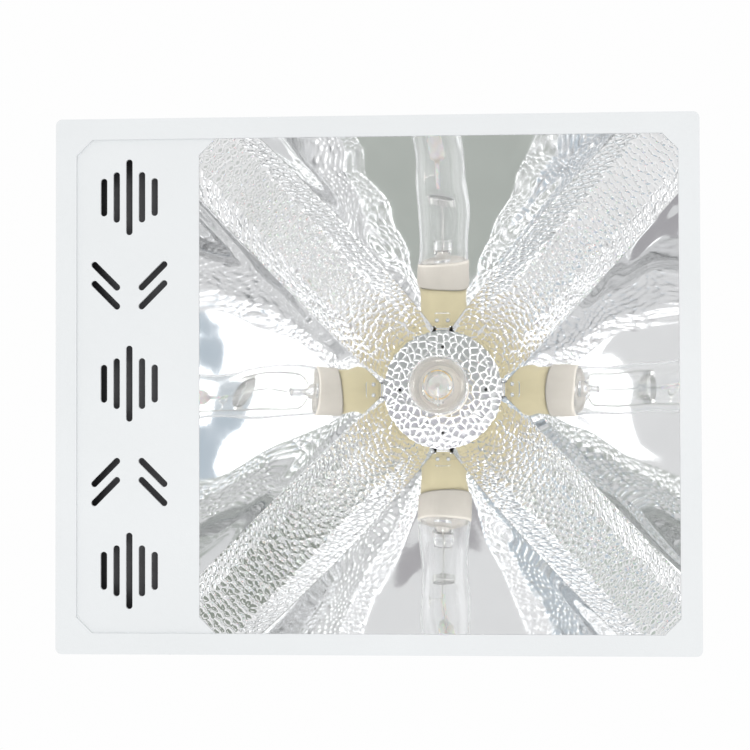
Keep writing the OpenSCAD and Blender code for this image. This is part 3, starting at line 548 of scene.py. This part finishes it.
def hammered_arm(name, seed):
    """One diagonal arm: three long facets of hammered sheet."""
    sx = 1 if name.endswith("right") else -1
    sy = 1 if name.startswith("front") else -1
    rows = int((BOWL_H / math.sin(math.radians(54))) / ARM_STEP)
    z = np.linspace(SHEET_TOP, SHEET_RIM, rows)
    corners = arm_corners(z)
    widths = np.linalg.norm(np.diff(corners, axis=0), axis=2)
    total = widths.sum(axis=0)
    cols = int(total.max() * 0.8 / ARM_STEP)
    along = np.linspace(0, 1, cols)[None, :] * total[:, None]

    def at(distance):
        """Places on the arm's section, by distance along it from one long edge."""
        d = np.clip(distance, 0, total[:, None])
        out = np.zeros((*d.shape, 3))
        passed = np.zeros(rows)
        for k in range(3):
            w = widths[k]
            f = np.clip((d - passed[:, None]) / np.maximum(w, 1e-6)[:, None], 0, 1)
            out += (corners[k + 1] - corners[k])[:, None, :] * f[:, :, None]
            passed = passed + w
        return out + corners[0][:, None, :]

    grid = (at(along - ARM_BEND) + 2 * at(along) + at(along + ARM_BEND)) / 4
    grid[:, 0], grid[:, -1] = at(along)[:, 0], at(along)[:, -1]
    edge = np.minimum(along, total[:, None] - along)
    grid = gathered(grid, edge)
    down = np.concatenate([[0], np.cumsum(np.linalg.norm(np.diff(grid[:, cols // 2], axis=0), axis=1))])
    u = along - (widths[0] + widths[1] / 2)[:, None]
    v = np.repeat(down[:, None], cols, 1)
    relief = pebbles(u, v, PEBBLE, seed, 0.5, 0.32) * PEBBLE_H
    relief *= np.clip(edge / 1.2, 0, 1)
    n = inward_normals(grid)
    front = grid + n * relief[:, :, None]
    sheet = EDGE_FOIL + (FOIL - EDGE_FOIL) * np.clip((edge - 5) / 3, 0, 1)
    back = grid - n * sheet[:, :, None]
    points, faces = closed_sheet(place_in_bowl(front, sx, sy), place_in_bowl(back, sx, sy), sx * sy < 0)
    node = "reflector_arm_" + name
    piece("hammered_arm_" + name, points, faces, "housing", "hammered_aluminium", [node])


def slow_waves(u, v, seed, lengths, height):
    """A gentle unevenness of the sheet: a few long waves with seeded directions."""
    rng = np.random.default_rng(seed)
    out = np.zeros_like(u)
    for length in lengths:
        angle, phase = rng.uniform(0, np.pi), rng.uniform(0, 2 * np.pi)
        out += np.sin((u * math.cos(angle) + v * math.sin(angle)) * 2 * np.pi / length + phase) * length
    return out * height / sum(lengths)


def mirror_panel(name, k, turn, seed, twist):
    """One smooth side panel, set just behind the arms beside it and slightly twisted towards the rim."""
    rows = int(BOWL_H / MIRROR_STEP * 1.3)
    z = np.linspace(SHEET_TOP, SHEET_RIM, rows)
    rim_slope = (SLOPE_LONG, SLOPE_SHORT)[k]
    shown = np.maximum(mirror_half(z, k), 1.0)
    half = shown + 4 * np.minimum(1, 0.25 + share_down(z) * 3)
    u = np.linspace(-1, 1, MIRROR_COLS)[None, :] * half[:, None]
    grid = np.stack([u, np.repeat(-wall_r(z, rim_slope)[:, None], MIRROR_COLS, 1),
                     np.repeat(z[:, None], MIRROR_COLS, 1)], axis=2)
    n = inward_normals(grid)
    down = np.repeat(np.cumsum(np.full(rows, MIRROR_STEP))[:, None], MIRROR_COLS, 1)
    relief = slow_waves(u, down, seed, WAVE_LENGTHS, WAVE_H)
    turned_share = np.clip((down - TWIST_FROM) / TWIST_OVER, 0, 1) ** 2
    relief -= twist * TWIST_WIDTH * np.tanh(u / TWIST_WIDTH) * turned_share
    inside = np.clip((shown[:, None] - np.abs(u)) / MIRROR_FADE, 0, 1)
    relief *= inside * inside * (3 - 2 * inside)
    front = grid + n * (relief - EDGE_FOIL - MIRROR_GAP)[:, :, None]
    back = front - n * FOIL
    points, faces = closed_sheet(place_in_bowl(front @ spun(turn)), place_in_bowl(back @ spun(turn)))
    piece("smooth_panel_" + name, points, faces, "housing", "mirror_aluminium", ["mirror_" + name])


def disc_hole_places():
    """Middles of the disc's four small holes, in the bowl's millimetres."""
    quarters = [k * math.pi / 2 for k in range(4)]
    return [(HOLE_OUT * math.sin(a), -HOLE_OUT * math.cos(a)) for a in quarters]


def top_disc():
    """The hammered round plate round the lampholder, with four tongues that are riveted down."""
    hole = (holder_high.x - holder_low.x) / 2 / MM + 0.6
    sides, rings = 720, 96
    r = np.linspace(hole, DISC_R, rings)
    turn = np.linspace(0, 2 * np.pi, sides, endpoint=False)
    x, y = r[:, None] * np.cos(turn), r[:, None] * np.sin(turn)
    for cx, cy in disc_hole_places():
        d = np.hypot(x - cx, y - cy)
        reach = HOLE_R + HOLE_BAND
        push = np.where(d < reach, HOLE_R + (d / reach) * HOLE_BAND, d)
        scale = push / np.maximum(d, 1e-6)
        x, y = cx + (x - cx) * scale, cy + (y - cy) * scale
    relief = (1 - pebbles(x + 300, y + 300, DISC_PEBBLE, DISC_SEED, 0.25, 0.24)) * DISC_PEBBLE_H
    relief *= np.clip((DISC_R + 0.1 - r) / 0.8, 0, 1)[:, None] * np.clip((r - hole) / 0.8, 0, 1)[:, None]
    front = np.stack([x, y, DISC_Z - relief], axis=2)
    count = sides * rings
    quads = grid_faces(rings, sides, 0, True, True)
    middles = front.reshape(-1, 3)[quads].mean(axis=1)
    for cx, cy in disc_hole_places():
        outside = np.hypot(middles[:, 0] - cx, middles[:, 1] - cy) > HOLE_R - 0.02
        quads, middles = quads[outside], middles[outside]
    back = np.stack([x[[0, -1]], y[[0, -1]], np.full((2, sides), DISC_Z + FOIL)], axis=2)
    ring = np.arange(sides)
    nxt = (ring + 1) % sides
    last, outer = (rings - 1) * sides, count + sides
    rims = [np.stack([ring, nxt, nxt + count, ring + count], axis=1),
            np.stack([last + nxt, last + ring, outer + ring, outer + nxt], axis=1)]
    faces = np.concatenate([quads, grid_faces(2, sides, count, True), *rims])
    points = place_in_bowl(np.concatenate([front.reshape(-1, 3), back.reshape(-1, 3)]))
    tabs = [disc_tongue(k * math.pi / 2) for k in range(4)]
    points, faces = joined((points, faces), *tabs)
    piece("hammered_disc", points, faces, "housing", "hammered_aluminium", ["reflector_disc"])


def disc_hole_shade_plugs():
    """Black plugs set into the disc's four small holes: painted shade, standing in for the dark inside seen
    through them.
    """
    parts = []
    for cx, cy in disc_hole_places():
        points, faces = lathe([(1.35, 0.2), (1.35, 0.7), (0.02, 0.7), (0.02, 0.2)], cx, cy, 24, True)
        points[:, 2] += DISC_Z
        parts.append((place_in_bowl(points), faces))
    points, faces = joined(*parts)
    piece("disc_hole_shade_plugs", points, faces, "housing", "black_rubber")


def disc_tongue(turn):
    """A flat tongue from behind the disc's edge: a short level neck, then a bend along a mirror panel."""
    slope = math.radians(SLOPE_TOP)
    reach = np.concatenate([np.linspace(-4.0, 0, 17)[:-1], np.linspace(0, TAB_LENGTH, 24)])[:, None]
    width = TAB_NECK + (TAB_WIDE - TAB_NECK) * np.clip(reach / 3, 0, 1)
    side = np.linspace(-1, 1, 10)[None, :] * width / 2
    sunk = 1.0 * np.clip(-(reach + 1.0), 0, 1)
    past = np.clip(reach, 0, None)
    tip = 0.8 + 0.2 * np.sqrt(np.clip(1 - np.clip((reach - TAB_LENGTH + 2) / 2, 0, 1) ** 2, 0, 1))
    grid = np.stack([side * tip, -TAB_BEND - np.minimum(reach, 0) - past * math.cos(slope) + 0 * side,
                     DISC_Z + sunk - past * math.sin(slope) + 0 * side], axis=2)
    n = inward_normals(grid)
    grid = grid - n * (TAB_SETTLE * np.sqrt(past / TAB_LENGTH))[:, :, None]
    return closed_sheet(place_in_bowl(grid @ spun(turn)), place_in_bowl((grid - n * TAB_FOIL) @ spun(turn)))


def rivet_domes():
    """Round rivet heads, in pairs on the four tongues, each with a small hollow in its middle."""
    slope = math.radians(SLOPE_TOP)
    along = (RIVET_OUT - TAB_BEND) / math.cos(slope)
    normal = Vector((0, math.sin(slope), -math.cos(slope)))
    tilt = normal.to_track_quat("Z", "Y").to_matrix()
    profile = [(1.55, -0.3), (1.5, 0.25), (1.3, 0.7), (0.95, 1.05), (0.5, 1.25), (0.32, 0.7), (0.01, 0.65)]
    sides = 24
    parts = []
    for k in range(4):
        spin = Matrix.Rotation(-k * math.pi / 2, 3, "Z")
        for side in (-1, 1):
            centre = Vector((side * RIVET_SIDE, -RIVET_OUT, DISC_Z - along * math.sin(slope)))
            points = []
            for r, h in profile:
                for q in np.linspace(0, 2 * np.pi, sides, endpoint=False):
                    points.append(spin @ (tilt @ Vector((r * math.cos(q), r * math.sin(q), h)) + centre))
            faces = list(grid_faces(len(profile), sides, 0, True))
            faces += end_caps((len(profile) - 1) * sides, sides)
            parts.append((place_in_bowl(np.array([tuple(p) for p in points])), faces))
    points, faces = joined(*parts)
    piece("rivet_heads", points, faces, "housing", "plain_aluminium", ["reflector_rivets"])


for arm_name, arm_seed in ARM_SEEDS.items():
    hammered_arm(arm_name, arm_seed)
mirror_panel("front", 0, 0, 21, 0.030)
mirror_panel("back", 0, math.pi, 22, 0.010)
mirror_panel("left", 1, -math.pi / 2, 23, 0.036)
mirror_panel("right", 1, math.pi / 2, 24, 0.028)
top_disc()
disc_hole_shade_plugs()
rivet_domes()


# ---------------------------------------------------------------- lamp, in millimetres
BULB_WALL = 1.2
BULB_TIP = 1.9            # thickness of the glass at the bulb's end
SHEEN_SHELL_OUT = 0.06           # how far the white shell of painted sheen lies outside the glass
SHROUD_R = 9.4            # the inner glass tube
SHROUD_END = 13.6         # height of its lower end
ARC_MIDDLE, ARC_R = 40, 6.6
WIRE_OUT = 12.75          # distance of the support wires from the lamp's axis
BAND_HEIGHTS = (18, 76)   # lower edges of the two bands
PLATE = (5, 2.0, 4)       # size of a clamp plate
GETTER_Z = 63


def dome_profile(radius, end_z, height):
    """From the wall to the middle of the bulb's blunt, rounded end."""
    a = np.linspace(np.pi / 2, 0, 14)
    return [(radius * math.sin(t) ** 0.75, end_z + height * (1 - math.cos(t) ** 0.85)) for t in a]


def turned(profile, sides=96, closed=False):
    """A profile, in mm of radius and frame height, turned about the lamp's axis."""
    return lathe([(r * MM, z * MM) for r, z in profile], LAMP_X, 0, sides, closed)


def along_lamp(points):
    """Points in mm from the lamp's axis, as metres in the frame."""
    return [(LAMP_X + x * MM, y * MM, z * MM) for x, y, z in points]


def clamp_plate(centre):
    """A small plate with square edges, round the middle given."""
    w, d, h = (value / 2 for value in PLATE)
    corners = [Vector((x, y, z)) for z in (-h, h) for x, y in ((-w, -d), (w, -d), (w, d), (-w, d))]
    points = along_lamp([tuple(c + Vector(centre)) for c in corners])
    return points, [(3, 2, 1, 0), (4, 5, 6, 7), (0, 1, 5, 4), (1, 2, 6, 5), (2, 3, 7, 6), (3, 0, 4, 7)]


def bulb_glass():
    """The double-walled outer bulb with its blunt end."""
    tip, top = bulb_low.z, bulb_high.z
    wall = BULB_WALL * MM
    outer = dome_profile(BULB_R, tip, 12 * MM)
    inner = dome_profile(BULB_R - wall, tip + BULB_TIP * MM, 11 * MM)
    profile = [(1e-5, tip)] + outer[::-1][1:] + [(BULB_R, top), (BULB_R - wall, top)] + inner[:-1]
    profile.append((1e-5, tip + BULB_TIP * MM))
    points, faces = lathe(profile, LAMP_X, 0, 128)
    piece("bulb_glass", points, faces, "lamp", "clear_glass", ["outer_bulb"])


def thin_tube(name, profile, sides, finish, nodes=()):
    """A single-walled glass tube: it takes the clear glass slot and a thin finish of its own."""
    points, faces = turned(profile, sides)
    obj = piece(name, points, faces, "lamp", "clear_glass", nodes)
    obj.data.materials[0] = FINISHES[finish]


def bulb_sheen_shell():
    """A thin white shell just outside the bulb's wall, faint face on and whiter towards its edges: painted
    sheen in place of the glass's reflections.
    """
    r, low, high = BULB_R / MM + SHEEN_SHELL_OUT, bulb_low.z / MM + 12, bulb_high.z / MM - 0.2
    thin_tube("bulb_sheen_shell", [(r, low), (r, (low + high) / 2), (r, high)], 128, "sheen_shell_glass")


def shroud_glass():
    """The inner glass tube round the arc tube, necked in towards the stem."""
    profile = [(SHROUD_R, SHROUD_END), (SHROUD_R, 90), (9.0, 93), (8.0, 96), (6.6, 98.4), (6.0, 100)]
    thin_tube("shroud_glass", profile, 96, "thin_clear_glass", ["quartz_shroud"])


def shroud_edge():
    """Broken golden rim where the shroud's lower end was fired."""
    parts = []
    for start, end in ((0.35, 1.75), (1.95, 2.75), (3.3, 3.9), (4.2, 6.0)):
        turn = np.linspace(start, end, 24)
        arc = [(8.9 * math.cos(t), 8.9 * math.sin(t), 13.7) for t in turn]
        parts.append(tube(along_lamp(arc), 0.42 * MM, 8))
    points, faces = joined(*parts)
    piece("shroud_edge", points, faces, "lamp", "brass")


def stem_glass():
    """Sealed foot of the inner tube: a round stub and the flattened, uneven pinch under it."""
    rng = np.random.default_rng(51)
    sides, levels = 64, np.linspace(100.3, 116.6, 34)
    turn = np.linspace(0, 2 * np.pi, sides, endpoint=False)
    rows = []
    for z in levels:
        flat = np.clip((112 - z) / 2.5, 0, 1)
        ripple = 1 + 0.06 * flat * rng.uniform(-1, 1)
        half_w, half_d = 6 + 1.2 * flat, 6 - 3.2 * flat
        rows.append([(half_w * ripple * math.cos(t), half_d * ripple * math.sin(t), z) for t in turn])
    points = along_lamp([p for row in rows for p in row])
    faces = list(grid_faces(len(levels), sides, 0, True)) + end_caps((len(levels) - 1) * sides, sides)
    piece("stem_glass", points, faces, "lamp", "clear_glass", ["lamp_stem"])


def arc_ceramics():
    """The ceramic arc tube: a barrel with cone ends and two thin capillaries."""
    barrel = [(ARC_R, 0), (ARC_R, 8), (ARC_R * 0.96, 10), (ARC_R * 0.75, 12)]
    upper = barrel + [(2.4, 13.8), (1.7, 15), (1.5, 17), (1.5, 29), (0.01, 29)]
    profile = [(x, ARC_MIDDLE - z) for x, z in upper[::-1]] + [(x, ARC_MIDDLE + z) for x, z in upper[1:]]
    points, faces = turned(profile, 64)
    piece("arc_ceramics", points, faces, "lamp", "arc_ceramic", ["arc_tube"])


def lamp_wires():
    """Support wires: a long one to the far end, a short one, and the current lead between."""
    foot = [(0, 5, 110), (0, 9, 108.6), (0, 12, 105.6), (0, WIRE_OUT, 100)]
    long_wire = foot + [(0, WIRE_OUT, 60), (0, WIRE_OUT, 18), (0, 12.2, 13.4), (0, 9, 11.0),
                        (0, 5, 10.3), (0, 1.3, 10.2)]
    short_wire = [(0, -y, z) for _, y, z in foot] + [(0, -WIRE_OUT, 88), (0, -WIRE_OUT, 74)]
    lead = [(0, 0, 69.3), (0, 0.2, 80), (0, -0.1, 90), (0, 0, 98.5)]
    parts = [tube(smooth_path(along_lamp(wire)), r * MM, 10)
             for wire, r in ((long_wire, 0.6), (short_wire, 0.6), (lead, 0.5))]
    points, faces = joined(*parts)
    piece("lamp_wires", points, faces, "lamp", "nickel_wire", ["support_wires"])


def shroud_bands():
    """Two thin bands round the shroud, clamped to the long wire; the upper one to both wires."""
    parts = []
    for z in BAND_HEIGHTS:
        parts.append(turned([(9.5, z), (9.95, z), (9.95, z + 4), (9.5, z + 4)], closed=True))
        parts.append(clamp_plate((0, 11.0, z + 2)))
    parts.append(clamp_plate((0, -11.0, BAND_HEIGHTS[1] + 2)))
    points, faces = joined(*parts)
    piece("shroud_bands", points, faces, "lamp", "nickel_wire", ["shroud_straps"], crease=30)


def getter():
    """A ring of getter metal on a short arm."""
    turn = np.linspace(0, 2 * np.pi, 40, endpoint=False)
    ring_points = [(-11.2, 3 + 3 * math.cos(t), GETTER_Z + 3 * math.sin(t)) for t in turn]
    arm = [(x, y, GETTER_Z) for x, y in ((-11.2, 6), (-8, 9.4), (-3, 11.4), (-0.8, 12.3))]
    parts = [tube(along_lamp(ring_points), 0.7 * MM, 10, closed=True),
             tube(smooth_path(along_lamp(arm)), 0.4 * MM, 8)]
    points, faces = joined(*parts)
    piece("getter_metal", points, faces, "lamp", "nickel_wire", ["getter_ring"])


bulb_glass()
bulb_sheen_shell()
shroud_glass()
shroud_edge()
stem_glass()
arc_ceramics()
lamp_wires()
shroud_bands()
getter()


# ---------------------------------------------------------------- hangers, in millimetres
WIRE_HEAD = 3             # radius of the heads that hold the legs in their clips
EYE_OUT, EYE_R = 100, 9.75  # the eye's distance from the pivots, and its radius to the wire's middle
LEG = [(0, 76.5), (0, 71), (0, 66), (0.3, 63.6), (1.7, 61.3), (5, 59), (12, 54.8), (50, 32.1), (93.9, 7.6)]
HEAD = [(0, 76.5), (0, 77.3), (0, 78.1)]


def hanger_wire(side, toward):
    """A bent steel wire: two legs that turn out of the clips, and the welded eye between them."""
    low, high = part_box("hanger_" + side)
    pivot_x = low.x + WIRE_HEAD * MM if toward > 0 else high.x - WIRE_HEAD * MM
    pivot_z = (low.z + high.z) / 2

    def place(points):
        return [(pivot_x + toward * x * MM, y * MM, pivot_z) for x, y in points]

    turn = np.linspace(0, 2 * np.pi, 48, endpoint=False)
    eye = place([(EYE_OUT + EYE_R * math.cos(t), EYE_R * math.sin(t)) for t in turn])
    parts = [tube(eye, 1.75 * MM, 14, closed=True)]
    for s in (-1, 1):
        parts.append(tube(smooth_path(place([(x, y * s) for x, y in LEG]), 8), 2 * MM, 14))
        parts.append(tube(place([(x, y * s) for x, y in HEAD]), WIRE_HEAD * MM, 18))
    points, faces = joined(*parts)
    body = "hanger_" + side
    piece("hanger_wire_" + side, points, faces, body, "zinc_steel", [body], crease=50)


hanger_wire("left", 1)
hanger_wire("right", -1)


# ---------------------------------------------------------------- CAD pieces with rounded edges
softened("bezel_frame", "housing", "white_powder_coat", 0.5 * MM, 3)
softened("ballast_cover", "housing", "white_powder_coat", 0.12 * MM, 1)
softened("housing_shell", "housing", "white_powder_coat", 0.35 * MM, 2)
softened("lampholder", "housing", "cream_ceramic", 0.6 * MM, 3)
softened("lamp_base", "lamp", "white_ceramic", 0.5 * MM, 3)

# every CAD node that still shows takes its slot's finish
for row in frame["record"]["subparts"]:
    node_object = frame["nodes"][row["node"]]
    if not node_object.hide_render:
        set_material(node_object, row["material_slot"])


# ---------------------------------------------------------------- floor, light and camera, in metres
FLOOR_Z = -1.3
FLAG_LIFT = 0.01
BOX_LIFT = 0.02
FILL_LIFT = 0.03
FLAGS = (                 # name, X range, Y range, tone
    ("nadir", (-0.22, 0.15), (-0.31, -0.03), (0.43, 0.45, 0.44)),
    ("near", (-0.16, 0.11), (-0.03, 0.08), (0.50, 0.49, 0.54)),
    ("front", (-0.6, 0.6), (-1.0, -0.40), (0.52, 0.55, 0.51)),
    ("back", (-0.6, 0.6), (0.38, 0.54), (0.50, 0.485, 0.50)),
    ("far_left", (-2.0, -0.665), (-0.9, 0.7), (0.58, 0.66, 0.73)),
    ("far_corner", (1.1, 4.4), (-4.4, -1.1), (0.27, 0.30, 0.26)),
    ("far_right", (-4.4, -1.8), (-4.4, -1.8), (0.50, 0.56, 0.51)),
    ("far_back", (1.8, 4.4), (1.8, 4.4), (0.62, 0.64, 0.62)),
)
SOFT_BOXES = (            # name, X range, Y range, brightness
    ("box_left", (-0.665, -0.38), (-0.55, 0.45), 1.5),
    ("box_right", (0.38, 0.70), (-0.55, 0.45), 1.5),
    ("box_back", (-0.30, 0.30), (0.09, 0.37), 1.3),
)
SMALL_LIGHTS = (          # name, distance from the lamp's axis, height, height aimed at, power, spread
    ("bowl_", 0.09, 0.035, 0.14, 0.009, 60),
    ("bulb_", 0.10, 0.015, 0.06, 0.008, 50),
)
CAMERA_TILT = (-0.0158, 0.0406, -0.0041)    # turns about X, Y and Z, in radians
CAMERA_PLACE = (0.05836, 0.02002, -0.7519)  # from the middle of the bezel's lower face
CAMERA_LENS, CAMERA_SHIFT = 58.54, (-0.06, 0.03)


def stage_plate(name, x, y, z, material, seen=True):
    """A level plate of the stage over the X and Y ranges given, facing up."""
    mesh = bpy.data.meshes.new(name)
    corners = [(x[0], y[0], z), (x[1], y[0], z), (x[1], y[1], z), (x[0], y[1], z)]
    mesh.from_pydata(corners, [], [(0, 1, 2, 3)])
    mesh.materials.append(material)
    obj = bpy.data.objects.new(name, mesh)
    bpy.context.scene.collection.objects.link(obj)
    obj.visible_camera = seen
    obj.visible_shadow = seen
    obj.visible_diffuse = seen


def floor():
    s = Shader("floor_paint", (0.88, 0.88, 0.88), 0.8)
    s.color_from(s.noise(3, 2), [(0.3, (0.876, 0.876, 0.876)), (0.7, (0.884, 0.884, 0.884))])
    stage_plate("floor", (-4.5, 4.5), (-4.5, 4.5), FLOOR_Z, s.material)


def flag(name, x, y, tone):
    """A studio flag lying on the floor: it is seen in reflections and nowhere else."""
    s = Shader("flag_" + name, tone, 0.9)
    s.color_from(s.noise(4, 2), [(0.3, tint(tone, 0.94)), (0.7, tint(tone, 1.06))])
    stage_plate("flag_" + name, x, y, FLOOR_Z + FLAG_LIFT, s.material, seen=False)


def area_light(name, location, target, size, power, mirrored=True, spread=180):
    light = bpy.data.lights.new(name, "AREA")
    light.shape = "RECTANGLE"
    light.size, light.size_y = size
    light.energy = power
    light.spread = math.radians(spread)
    obj = bpy.data.objects.new(name, light)
    obj.location = location
    obj.rotation_euler = (Vector(target) - Vector(location)).to_track_quat("-Z", "Y").to_euler()
    obj.visible_glossy = mirrored
    obj.visible_camera = False
    bpy.context.scene.collection.objects.link(obj)


def soft_box(name, x, y, brightness):
    """A soft box lying on the floor over the X and Y ranges given."""
    width, depth = x[1] - x[0], y[1] - y[0]
    place = ((x[0] + x[1]) / 2, (y[0] + y[1]) / 2, FLOOR_Z + BOX_LIFT)
    area_light(name, place, (place[0], place[1], 0), (width, depth), brightness * math.pi * width * depth)


def lights():
    """Soft boxes on the floor, a soft fill from below, and small lights in the ballast bay and the bowl."""
    for box in SOFT_BOXES:
        soft_box(*box)
    area_light("fill", (LAMP_X, 0, FLOOR_Z + FILL_LIFT), (LAMP_X, 0, 0), (1.6, 1.6), 1.2, mirrored=False)
    cover_low, cover_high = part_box("ballast_cover")
    cover_x = (cover_low.x + cover_high.x) / 2
    bay_place = (cover_x, 0, cover_high.z + 2 * MM)
    area_light("bay", bay_place, (cover_x, 0, 0.2), (0.05, 0.27), 0.05, mirrored=False)
    for k in range(4):
        x, y = math.cos(k * math.pi / 2), math.sin(k * math.pi / 2)
        for name, out, z, aim_z, power, spread in SMALL_LIGHTS:
            area_light(name + str(k), (LAMP_X + out * x, out * y, z), (LAMP_X, 0, aim_z),
                       (0.05, 0.05), power, mirrored=False, spread=spread)


def sky():
    world = bpy.data.worlds.new("sky")
    world.use_nodes = True
    world.node_tree.nodes["Background"].inputs["Color"].default_value = (0.99, 0.99, 0.99, 1)
    world.node_tree.nodes["Background"].inputs["Strength"].default_value = 1.0
    bpy.context.scene.world = world


def camera():
    """Straight up from under the light, a little to the right of its middle."""
    tilt_x, tilt_y, tilt_z = CAMERA_TILT
    view = (Matrix.Rotation(tilt_z, 3, "Z") @ Matrix.Rotation(tilt_y, 3, "Y")
            @ Matrix.Rotation(tilt_x, 3, "X"))
    right, down, ahead = view
    data = bpy.data.cameras.new("camera")
    data.sensor_width = 36
    data.lens = CAMERA_LENS
    data.shift_x, data.shift_y = CAMERA_SHIFT
    obj = bpy.data.objects.new("camera", data)
    place = Matrix((right, -down, -ahead)).transposed().to_4x4()
    place.translation = (HOUSING_X + CAMERA_PLACE[0], *CAMERA_PLACE[1:])
    obj.matrix_world = place
    bpy.context.scene.collection.objects.link(obj)
    bpy.context.scene.camera = obj


floor()
for flag_row in FLAGS:
    flag(*flag_row)
lights()
sky()
camera()
bpy.context.scene.view_settings.view_transform = "Standard"
